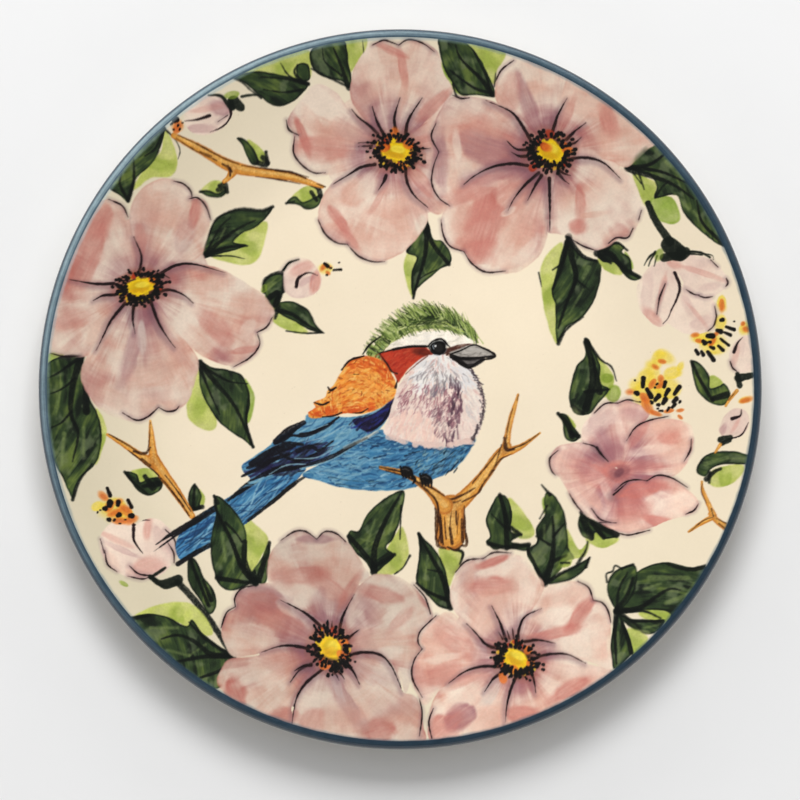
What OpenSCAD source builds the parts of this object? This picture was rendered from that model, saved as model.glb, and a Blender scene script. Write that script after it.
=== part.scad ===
// Hand painted ceramic plate: a shallow round plate on a turned foot ring.
// The solids are the layers that the plate is built up from: the fired clay, the glazes on its
// face and back, the blue band round its lip, and the colours painted on the glaze.
// Millimetres, +Z up. The origin is the centre of the foot ring's tread, and the top of the
// picture is towards +Y.

/* [Plate] */
// Diameter over the lip
plate_d = 260; // [240:2:290]
// Diameter of the flat well, inside the turn to the flank
well_d = 144; // [140:2:160]
// Radius of the turn from the well to the flank, on the face side
turn_r = 65; // [55:1:65]
// Radius of the flank, which is part of a sphere centred on the plate's axis, on the face side
flank_r = 329.2; // [300:0.2:380]
// Thickness of the wall with its glazes
wall = 4.4; // [4:0.2:6]

/* [Foot] */
// Outer diameter of the foot ring
foot_d = 160; // [140:2:164]
// Width of the foot ring at the wall
foot_w = 7; // [5:0.5:9]
// Height of the foot ring under the wall
foot_h = 4.5; // [4.5:0.25:7]
// Chamfer on both edges of the bare tread
tread_chamfer = 1.2; // [0.5:0.1:1.5]

/* [Glaze] */
// Thickness of each glaze coat
glaze = 0.4; // [0.3:0.05:0.6]
// Width of the blue band on the face, inside the lip's round
band_w = 0.2; // [0.1:0.1:3]
// Width of the blue band on the back, inside the lip's round
band_back_w = 2.5; // [0.5:0.1:4]

/* [Painting] */
// Thickness of the painted colours on the glaze
paint = 0.15; // [0.1:0.05:0.3]
// Diameter of a blossom's yellow centre
centre_d = 11; // [8:0.5:14]

/* [Hidden] */
$fn = 96;

well_r = well_d / 2;
foot_r = foot_d / 2;
face_z = foot_h + wall;
// The turn is centred over the edge of the well.
turn_centre = [well_r, face_z + turn_r];
// The flank carries on smoothly from the turn, so their centres and their join are in one line.
centres_drop = sqrt((flank_r - turn_r) ^ 2 - well_r ^ 2);
flank_centre = [0, turn_centre.y + centres_drop];
lip_centre_r = plate_d / 2 - wall / 2;
lip_centre = [lip_centre_r, flank_centre.y - sqrt((flank_r + wall / 2) ^ 2 - lip_centre_r ^ 2)];
lip_angle = asin(lip_centre_r / (flank_r + wall / 2));

// Directions across the profile, each long enough to reach past the wall from its centre
reach = 2;
to_well = reach * [0, -flank_r];
to_join = reach * [well_r, -centres_drop];
to_lip = reach * (lip_centre - flank_centre);
to_band = reach * flank_r * down_at(lip_angle - arc_angle(band_w, flank_r));
to_back_band = reach * flank_r * down_at(lip_angle - arc_angle(band_back_w, flank_r + wall));

// The foot's solid reaches this far into the wall, so that the two are one piece of clay.
foot_root = wall / 2;
// The painting's places are for a plate of this diameter, and grow with the plate.
painted_for_d = 260;
painting_scale = plate_d / painted_for_d;

// Blossoms: [x, y, [[petal's angle, petal's reach, petal's width], ...]]
BLOSSOMS = [
    [-95, 36, [[69, 42, 36], [121, 34, 30], [206, 36, 32], [268, 47, 38], [346, 49, 38]]],
    [-3, 86, [[86, 40, 36], [168, 40, 28], [257, 42, 40], [310, 32, 28], [30, 32, 30]]],
    [54, 86, [[178, 44, 36], [240, 51, 40], [309, 44, 42], [20, 44, 38], [103, 38, 34]]],
    [-26, -93, [[98, 43, 38], [156, 42, 36], [24, 42, 36], [316, 40, 36], [223, 40, 40]]],
    [41, -96, [[104, 38, 36], [34, 42, 36], [333, 36, 34], [262, 31, 34], [180, 34, 36]]],
];
// Blossoms seen from the side and buds, as round petals: [x, y, diameter]
SIDE_PETALS = [
    [73, -15, 22], [94, -20, 24], [62, -27, 20], [78, -36, 24], [95, -40, 18],
    [94, 36, 17], [108, 40, 15], [105, 29, 14],
    [-35, 39, 12], [-70, 98, 14], [-95, -57, 19], [-88, -60, 14], [122, 13, 8], [121, -11, 8],
];
// Leaves: [x, y of the base, x, y of the tip, width]
LEAVES = [
    [-61, 110, -33, 110, 13], [-30, 121, -17, 108, 11], [-83, 94, -99, 68, 13],
    [-60, 87, -48, 81, 7], [-70, 70, -62, 75, 5], [-41, 66, -30, 73, 6],
    [-71, 48, -46, 65, 15], [-47, 31, -28, 20, 10], [-72, 10, -53, -20, 15],
    [-116, 11, -118, -39, 17], [-50, -69, -67, -38, 16], [-72, -62, -70, -82, 6],
    [-59, -97, -88, -84, 13], [-98, -34, -88, -31, 5], [8, 62, 5, 34, 15],
    [60, 55, 56, 17, 16], [76, 53, 86, 40, 8], [98, 88, 117, 52, 15],
    [66, 17, 69, -12, 14], [58, -6, 64, -20, 6], [118, -3, 105, 10, 7],
    [111, -26, 122, -27, 8], [66, -48, 78, -50, 5], [39, -57, 36, -38, 9],
    [52, -70, 53, -37, 13], [18, -79, 7, -52, 12], [-9, -65, 1, -37, 13],
    [78, -82, 110, -64, 15], [34, 106, 16, 126, 14],
];
// Twigs: [x, y, x, y, width at the start, width at the end]
TWIGS = [
    [-81, 92, -61, 81, 2, 3], [-61, 81, -28, 74, 3, 2], [-61, 81, -63, 75, 2, 1],
    [-105, -17, -91, -25, 1.5, 2.5], [-90, -12, -90, -24, 1.5, 2.5],
    [-90, -24, -74, -46, 2.5, 2], [109, -34, 113, -46, 1.5, 2],
    [113, -46, 119, -50, 2, 1.5], [113, -46, 105, -51, 2, 1.5],
    [18, -58, 18, -40, 12, 9], [18, -40, 4, -33, 5, 3], [4, -33, -7, -28, 3, 1.5],
    [18, -42, 38, -22, 7, 4], [38, -22, 43, -2, 4, 1], [38, -22, 51, -16, 4, 1],
];
// The bird's outlines, each a smooth curve through a few points
BELLY = [[-33, -31], [-21, -11], [-3, -16], [16, -20], [28, -16], [18, -31], [-6, -36]];
BREAST = [[-5, -4], [0, 8], [14, 13], [28, 9], [31, -5], [22, -19], [6, -18]];
SHOULDER = [[-33, -9], [-22, 7], [-10, 13], [-4, 6], [-3, -3], [-12, -10]];
WING = [[-24, -9], [-8, -9], [-18, -24], [-32, -30], [-46, -36], [-54, -33], [-42, -17]];
TAIL = [[-48, -32], [-36, -33], [-60, -51], [-84, -64], [-87, -57], [-68, -45]];
CREST = [[-7, 15], [-4, 24], [6, 31], [16, 30], [27, 18], [12, 20], [2, 17]];
CHEEK = [[-6, 14], [8, 20], [22, 17], [18, 10], [4, 9]];
BEAK = [[17, 16], [25, 16], [34, 12], [25, 8], [18, 10]];

// -- Curves ------------------------------------------------------------------------------------

// A closed curve through the points p, with steps points on each stretch (Catmull-Rom)
function smooth(p, steps = 5) = [
    for (i = [0:len(p) - 1], k = [0:steps - 1])
        let (
            a = p[(i + len(p) - 1) % len(p)], b = p[i],
            c = p[(i + 1) % len(p)], d = p[(i + 2) % len(p)], t = k / steps
        )
        0.5 * (2 * b + t * (c - a) + t * t * (2 * a - 5 * b + 4 * c - d)
            + t * t * t * (3 * b - a - 3 * c + d))
];

// The direction at an angle from straight down, and the angle of a length along an arc
function down_at(angle) = [sin(angle), -cos(angle)];
function arc_angle(length, radius) = length / radius * 180 / PI;

function direction(x0, y0, x1, y1) = atan2(y1 - y0, x1 - x0);
function distance(x0, y0, x1, y1) = norm([x1 - x0, y1 - y0]);

// A pointed leaf of two arcs, from the origin along +X
module leaf_outline(length, width) {
    arc_r = (length * length / 4 + width * width / 4) / width;
    intersection() {
        translate([length / 2, arc_r - width / 2]) circle(r = arc_r);
        translate([length / 2, width / 2 - arc_r]) circle(r = arc_r);
    }
}

// A brush stroke along +X with rounded ends
module stroke_outline(length, w0, w1) {
    circle(d = w0);
    translate([length, 0]) circle(d = w1);
    polygon([[0, -w0 / 2], [length, -w1 / 2], [length, w1 / 2], [0, w0 / 2]]);
}

// -- Profile, drawn with x as the radius and y as the height -----------------------------------

// The part of a ring round a centre, from radius r0 to r1, between two directions
module sector(centre, r0, r1, from, to) {
    translate(centre) intersection() {
        difference() {
            circle(r = r1);
            circle(r = r0);
        }
        polygon([[0, 0], from, to]);
    }
}

// The flank from depth d0 to d1 under the face
module flank_profile(d0, d1, from, to) {
    sector(flank_centre, flank_r + d0, flank_r + d1, from, to);
}

// The well and the turn from depth d0 to d1 under the face
module well_profile(d0, d1) {
    translate([0, face_z - d1]) square([well_r, d1 - d0]);
    sector(turn_centre, turn_r + d0, turn_r + d1, to_well, to_join);
}

// The clay under the glazes, from the middle of the well to the round of the lip
module clay_wall_profile() {
    well_profile(glaze, wall - glaze);
    flank_profile(glaze, wall - glaze, to_join, to_lip);
    translate(lip_centre) circle(r = wall / 2 - glaze);
}

module foot_profile() {
    inner = foot_r - foot_w;
    polygon([
        [inner, foot_h + foot_root], [inner, tread_chamfer], [inner + tread_chamfer, 0],
        [foot_r - tread_chamfer, 0], [foot_r, tread_chamfer], [foot_r, foot_h + foot_root],
    ]);
}

// -- Clay and glazes ---------------------------------------------------------------------------

module clay_body() {
    color("burlywood") rotate_extrude() {
        clay_wall_profile();
        foot_profile();
    }
}

module face_glaze() {
    color("oldlace") rotate_extrude() {
        well_profile(0, glaze);
        flank_profile(0, glaze, to_join, to_band);
    }
}

module back_glaze() {
    color("ivory") rotate_extrude() difference() {
        union() {
            well_profile(wall - glaze, wall);
            flank_profile(wall - glaze, wall, to_join, to_back_band);
        }
        square([foot_r, face_z]);
    }
}

module foot_recess_glaze() {
    color("ivory") rotate_extrude() intersection() {
        well_profile(wall - glaze, wall);
        square([foot_r - foot_w, face_z]);
    }
}

module rim_band() {
    color("steelblue") rotate_extrude() difference() {
        union() {
            flank_profile(0, wall / 2, to_band, to_lip);
            flank_profile(wall / 2, wall, to_back_band, to_lip);
            translate(lip_centre) circle(r = wall / 2);
        }
        clay_wall_profile();
    }
}

// -- Painted colours, each a thin coat that follows the face -----------------------------------

// Keeps the part of a drawing that lies on the face glaze, as a coat of paint on it
module coat() {
    intersection() {
        rotate_extrude() {
            well_profile(-paint, 0);
            flank_profile(-paint, 0, to_join, to_band);
        }
        translate([0, 0, foot_h]) linear_extrude(plate_d / 4) scale(painting_scale) children();
    }
}

module petals_drawing() {
    for (b = BLOSSOMS) translate([b[0], b[1]]) {
        for (p = b[2]) rotate(p[0]) translate([p[1] - p[2] / 2, 0]) circle(d = p[2]);
    }
    for (p = SIDE_PETALS) translate([p[0], p[1]]) circle(d = p[2]);
}

module centres_drawing() {
    for (b = BLOSSOMS) translate([b[0], b[1]]) circle(d = centre_d);
}

module leaves_drawing() {
    for (l = LEAVES) translate([l[0], l[1]]) rotate(direction(l[0], l[1], l[2], l[3]))
        leaf_outline(distance(l[0], l[1], l[2], l[3]), l[4]);
}

module twigs_drawing() {
    for (t = TWIGS) translate([t[0], t[1]]) rotate(direction(t[0], t[1], t[2], t[3]))
        stroke_outline(distance(t[0], t[1], t[2], t[3]), t[4], t[5]);
}

module head_drawing() {
    for (outline = [CREST, CHEEK]) polygon(smooth(outline));
    polygon(BEAK);
}

module breast_drawing() {
    difference() {
        polygon(smooth(BREAST));
        head_drawing();
    }
}

module shoulder_drawing() {
    difference() {
        polygon(smooth(SHOULDER));
        polygon(smooth(BREAST));
        head_drawing();
    }
}

module belly_drawing() {
    difference() {
        polygon(smooth(BELLY));
        polygon(smooth(BREAST));
        polygon(smooth(SHOULDER));
    }
}

module wing_drawing() {
    difference() {
        union() {
            polygon(smooth(WING));
            polygon(smooth(TAIL));
        }
        polygon(smooth(SHOULDER));
        polygon(smooth(BELLY));
        polygon(smooth(BREAST));
    }
}

module bird_drawing() {
    for (outline = [BELLY, BREAST, SHOULDER, WING, TAIL]) polygon(smooth(outline));
    head_drawing();
}

module blossom_petals() {
    color("rosybrown") coat() difference() {
        petals_drawing();
        centres_drawing();
        bird_drawing();
        twigs_drawing();
    }
}

module blossom_centres() {
    color("gold") coat() centres_drawing();
}

module leaves() {
    color("darkolivegreen") coat() difference() {
        leaves_drawing();
        petals_drawing();
        bird_drawing();
        twigs_drawing();
    }
}

module twigs() {
    color("peru") coat() difference() {
        twigs_drawing();
        bird_drawing();
    }
}

module bird_wing_and_tail() {
    color("midnightblue") coat() wing_drawing();
}

module bird_belly() {
    color("steelblue") coat() belly_drawing();
}

module bird_breast() {
    color("pink") coat() breast_drawing();
}

module bird_shoulder() {
    color("darkorange") coat() shoulder_drawing();
}

module bird_head() {
    color("olivedrab") coat() head_drawing();
}

clay_body();
face_glaze();
back_glaze();
foot_recess_glaze();
rim_band();
blossom_petals();
blossom_centres();
leaves();
twigs();
bird_wing_and_tail();
bird_belly();
bird_breast();
bird_shoulder();
bird_head();
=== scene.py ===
import math

import bpy
import numpy as np
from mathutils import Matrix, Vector


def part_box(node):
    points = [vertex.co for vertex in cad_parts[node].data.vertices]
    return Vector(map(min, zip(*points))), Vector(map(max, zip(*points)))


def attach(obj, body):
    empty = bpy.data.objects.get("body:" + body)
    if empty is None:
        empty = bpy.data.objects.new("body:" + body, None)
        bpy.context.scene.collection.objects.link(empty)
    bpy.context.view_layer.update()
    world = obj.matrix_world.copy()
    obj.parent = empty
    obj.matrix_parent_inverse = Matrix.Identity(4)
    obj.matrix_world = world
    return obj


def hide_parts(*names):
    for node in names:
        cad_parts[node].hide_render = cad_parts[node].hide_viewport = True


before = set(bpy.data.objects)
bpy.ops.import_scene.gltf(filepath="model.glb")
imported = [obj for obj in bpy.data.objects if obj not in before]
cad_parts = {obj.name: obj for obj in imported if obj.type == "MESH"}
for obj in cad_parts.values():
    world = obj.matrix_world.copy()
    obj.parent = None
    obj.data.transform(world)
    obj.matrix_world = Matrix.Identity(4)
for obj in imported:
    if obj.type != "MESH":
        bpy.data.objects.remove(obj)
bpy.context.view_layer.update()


# -- The painting: a flat picture in millimetres, drawn with brush-like marks -------------------

HALF = 131.0        # half of the picture's side
CELL = 0.16         # one cell of the picture
AXIS = (np.arange(int(2 * HALF / CELL)) + 0.5) * CELL - HALF
SIDE = len(AXIS)    # cells along each side of the picture
KNOTS = 256         # the noise's lattice has this many knots a side, then repeats
LATTICE = np.random.default_rng(7).uniform(-1, 1, (KNOTS, KNOTS)).astype(np.float32)
SEED_STEP = (17.31, 9.73)    # how far one seed's noise lies from the next one's, in features
OWNED = 0.4         # a cell belongs to the piece whose colour covers more than this of it
WASH_LIFT = 0.015   # thickness of a wash, in mm
COARSE = 4          # depth inside an outline is measured on every fourth cell
NEAR = 2.5          # mm round an outline that are looked at
BRIM = 0.6          # mm round a stroke that are looked at
TINY = 1e-9         # keeps a division by zero away

picture = np.empty((SIDE, SIDE, 3), np.float32)    # sRGB, 0 to 255
owner = np.zeros((SIDE, SIDE), np.int8)            # which piece each cell belongs to
relief = np.zeros((SIDE, SIDE), np.float32)        # how far the colour stands proud

(CREAM, PETAL, CENTRE, LEAF, TWIG,
 WING_PIECE, BELLY_PIECE, BREAST_PIECE, SHOULDER_PIECE, HEAD_PIECE) = range(10)


def grain(u, v, seed):
    """Smooth noise from -1 to 1 whose features are one unit across."""
    u = u + seed * SEED_STEP[0]
    v = v + seed * SEED_STEP[1]
    i, j = np.floor(u).astype(int), np.floor(v).astype(int)
    a, b = u - i, v - j
    a, b = a * a * (3 - 2 * a), b * b * (3 - 2 * b)
    i, j, i1, j1 = i % KNOTS, j % KNOTS, (i + 1) % KNOTS, (j + 1) % KNOTS
    low = LATTICE[j, i] * (1 - a) + LATTICE[j, i1] * a
    high = LATTICE[j1, i] * (1 - a) + LATTICE[j1, i1] * a
    return low * (1 - b) + high * b


def rough(u, v, seed):
    """Noise with three sizes of feature."""
    return (grain(u, v, seed) + 0.5 * grain(2.1 * u, 2.1 * v, seed + 1)
            + 0.25 * grain(4.3 * u, 4.3 * v, seed + 2)) / 1.4


def ramp(x, low, high):
    """From 0 at low to 1 at high, smooth at both ends; low may be the larger."""
    t = np.clip((x - low) / (high - low), 0, 1)
    return t * t * (3 - 2 * t)


def rgb(*c):
    """An 8-bit sRGB colour."""
    return np.array(c, np.float32)


def curve(points, closed=False, steps=6):
    """A smooth line through the points."""
    p = np.array(points, float)
    if closed:
        q = np.vstack([p[-1], p, p[0], p[1]])
    else:
        q = np.vstack([2 * p[0] - p[1], p, 2 * p[-1] - p[-2]])
    t = np.linspace(0, 1, steps, endpoint=False)[:, None]
    out = []
    for a, b, c, d in zip(q[:-3], q[1:-2], q[2:-1], q[3:]):
        out.append(0.5 * (2 * b + t * (c - a) + t * t * (2 * a - 5 * b + 4 * c - d)
                          + t ** 3 * (3 * b - a - 3 * c + d)))
    if not closed:
        out.append(p[-1:])
    return np.vstack(out)


def window(points, margin):
    """The part of the picture round some points: its slices and its coordinates."""
    low = np.searchsorted(AXIS, points.min(0) - margin)
    high = np.searchsorted(AXIS, points.max(0) + margin)
    part = (slice(low[1], high[1]), slice(low[0], high[0]))
    return part, *np.meshgrid(AXIS[part[1]], AXIS[part[0]])


def finer(values, shape, step):
    """Values on every step-th cell, filled in between."""
    rows = np.minimum(np.arange(shape[0]) / step, values.shape[0] - 1.001)
    cols = np.minimum(np.arange(shape[1]) / step, values.shape[1] - 1.001)
    i, j = rows.astype(int), cols.astype(int)
    a, b = (rows - i)[:, None], (cols - j)[None, :]
    top = values[i][:, j] * (1 - b) + values[i][:, j + 1] * b
    low = values[i + 1][:, j] * (1 - b) + values[i + 1][:, j + 1] * b
    return top * (1 - a) + low * a


def inside(points, seed=0, wobble=0.25):
    """How deep each cell near a closed outline lies inside it, in mm."""
    loop = curve(points, True)
    part, X, Y = window(loop, NEAR)
    if X.size == 0:
        return part, X, Y, X
    x, y = X[::COARSE, ::COARSE], Y[::COARSE, ::COARSE]
    x = np.pad(x, ((0, 1), (0, 1)), mode="reflect", reflect_type="odd")
    y = np.pad(y, ((0, 1), (0, 1)), mode="reflect", reflect_type="odd")
    p = np.stack([x.ravel(), y.ravel()], 1).astype(np.float32)[:, None, :]
    a = loop.astype(np.float32)[None]
    b = np.roll(loop, -1, 0).astype(np.float32)[None]
    e = b - a
    t = np.clip(((p - a) * e).sum(2) / np.maximum((e * e).sum(2), TINY), 0, 1)
    gap = p - a - t[..., None] * e
    near = np.sqrt((gap * gap).sum(2).min(1))
    up = (a[..., 1] > p[..., 1]) != (b[..., 1] > p[..., 1])
    rise = np.where(np.abs(e[..., 1]) < TINY, TINY, e[..., 1])
    cross = a[..., 0] + (p[..., 1] - a[..., 1]) * e[..., 0] / rise
    odd = (up & (p[..., 0] < cross)).sum(1) % 2
    depth = finer(np.where(odd, near, -near).reshape(x.shape), X.shape, COARSE)
    return part, X, Y, depth + wobble * rough(X / 3.5, Y / 3.5, seed)


def lay(part, colour, alpha, who=None, lift=0.0, only=None):
    """Puts a colour on the picture, and gives the covered cells to a piece."""
    if only is not None:
        alpha = alpha * np.isin(owner[part], only)
    c = picture[part]
    c += (colour - c) * alpha[..., None].astype(np.float32)
    if who is not None:
        owner[part][alpha > OWNED] = who
    if lift:
        relief[part] = np.maximum(relief[part], (lift * alpha).astype(np.float32))


def mix(a, b, t):
    """Colours from a where t is 0 to b where t is 1."""
    return a + (b - a) * t[..., None]


def stroke(points, widths, colour, alpha=0.95, who=None, only=None, soft=0.18, dry=0.0,
           seed=0, lift=0.02):
    """A brush line through the points, whose width changes along it."""
    line = curve(points, steps=5) if len(points) > 2 else np.array(points, float)
    reach = np.concatenate([[0], np.cumsum(np.hypot(*np.diff(line, axis=0).T))])
    half = np.interp(reach / max(reach[-1], 1e-6), np.linspace(0, 1, len(widths)), widths) / 2
    part, X, Y = window(line, max(widths) / 2 + BRIM)
    if X.size == 0:
        return
    best = np.full(X.shape, -9.0, np.float32)
    place = np.zeros(X.shape, np.float32)
    x0, y0 = X[0, 0], Y[0, 0]
    for k in range(len(line) - 1):
        a, b = line[k], line[k + 1]
        m = max(half[k], half[k + 1]) + 0.5
        i0 = max(0, int((min(a[0], b[0]) - m - x0) / CELL))
        i1 = int((max(a[0], b[0]) + m - x0) / CELL) + 2
        j0 = max(0, int((min(a[1], b[1]) - m - y0) / CELL))
        j1 = int((max(a[1], b[1]) + m - y0) / CELL) + 2
        x, y = X[j0:j1, i0:i1], Y[j0:j1, i0:i1]
        if x.size == 0:
            continue
        e = b - a
        t = np.clip(((x - a[0]) * e[0] + (y - a[1]) * e[1]) / max(e @ e, TINY), 0, 1)
        d = half[k] + (half[k + 1] - half[k]) * t - np.hypot(x - a[0] - t * e[0],
                                                             y - a[1] - t * e[1])
        old = best[j0:j1, i0:i1]
        new = d > old
        old[new] = d[new]
        place[j0:j1, i0:i1][new] = (reach[k] + t * (reach[k + 1] - reach[k]))[new]
    best = best + 0.10 * grain(X / 1.1, Y / 1.1, seed)
    cover = ramp(best, -soft, soft) * alpha
    if dry:
        bristle = rough(X / 0.5, Y / 0.5, seed + 5) + 0.6 * grain(place / 6, best / 0.35, seed)
        cover = cover * (1 - dry * ramp(bristle, -0.1, 0.5))
    lay(part, colour, cover, who, lift, only)


def wash(points, colour, alpha=0.8, who=None, only=None, soft=0.5, seed=0, edge=0.0,
         streak=None):
    """A watery patch: uneven, and a little denser at its edge."""
    part, X, Y, depth = inside(points, seed)
    if X.size == 0:
        return
    u, v = X, Y
    if streak is not None:
        c, s = np.cos(np.radians(streak)), np.sin(np.radians(streak))
        u, v = (X * c + Y * s) / 5, (Y * c - X * s)
    thin = 1 + 0.25 * rough(u / 4, v / 1.6 if streak is not None else v / 4, seed + 3)
    cover = ramp(depth, -soft, soft) * alpha * thin
    cover = np.clip(cover + edge * ramp(depth, 1.2, 0.2) * ramp(depth, -soft, soft), 0, 1)
    lay(part, colour, cover, who, WASH_LIFT, only)


def dab(x, y, length, width, angle, colour, alpha, only=None, soft=0.35, seed=0, who=None,
        streaky=0.35, lift=0.012):
    """One broad press of the brush: an uneven oval with soft and hard edges."""
    r = length / 2 + 2
    part, X, Y = window(np.array([[x - r, y - r], [x + r, y + r]]), 0)
    if X.size == 0:
        return
    c, s = np.cos(np.radians(angle)), np.sin(np.radians(angle))
    u = (X - x) * c + (Y - y) * s
    v = (Y - y) * c - (X - x) * s
    v = v + 0.05 * u * u / max(length, 4) * np.sign(grain(np.float32(x), np.float32(y), 3))
    e = np.hypot(u / (length / 2), v / (width / 2))
    e = e + 0.22 * rough((X + 3) / 4.0, Y / 4.0, seed + 11)
    hard = soft * (1 + 0.8 * grain(X / 5, Y / 5, seed + 2))
    cover = ramp(e, 1 + hard, 1 - hard) * (1 - streaky * (0.5 + 0.5 * rough(u / 6, v / 0.7, seed)))
    cover = cover * (0.86 + 0.24 * ramp(e, 0.5, 0.95))     # a wet press dries darker at its edge
    lay(part, colour, np.clip(cover * alpha, 0, 1), who, lift, only)


# Colours, as 8-bit sRGB
GROUND = rgb(247, 233, 208)
LIGHT = rgb(246, 228, 210)
SALMON = rgb(226, 176, 157)
ROSE = rgb(206, 128, 116)
MAUVE = rgb(164, 112, 120)
INK = rgb(34, 20, 22)
YELLOW = rgb(240, 204, 22)
ORANGE = rgb(228, 122, 38)
RED = rgb(172, 58, 30)
BLACK = rgb(16, 13, 12)

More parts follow.
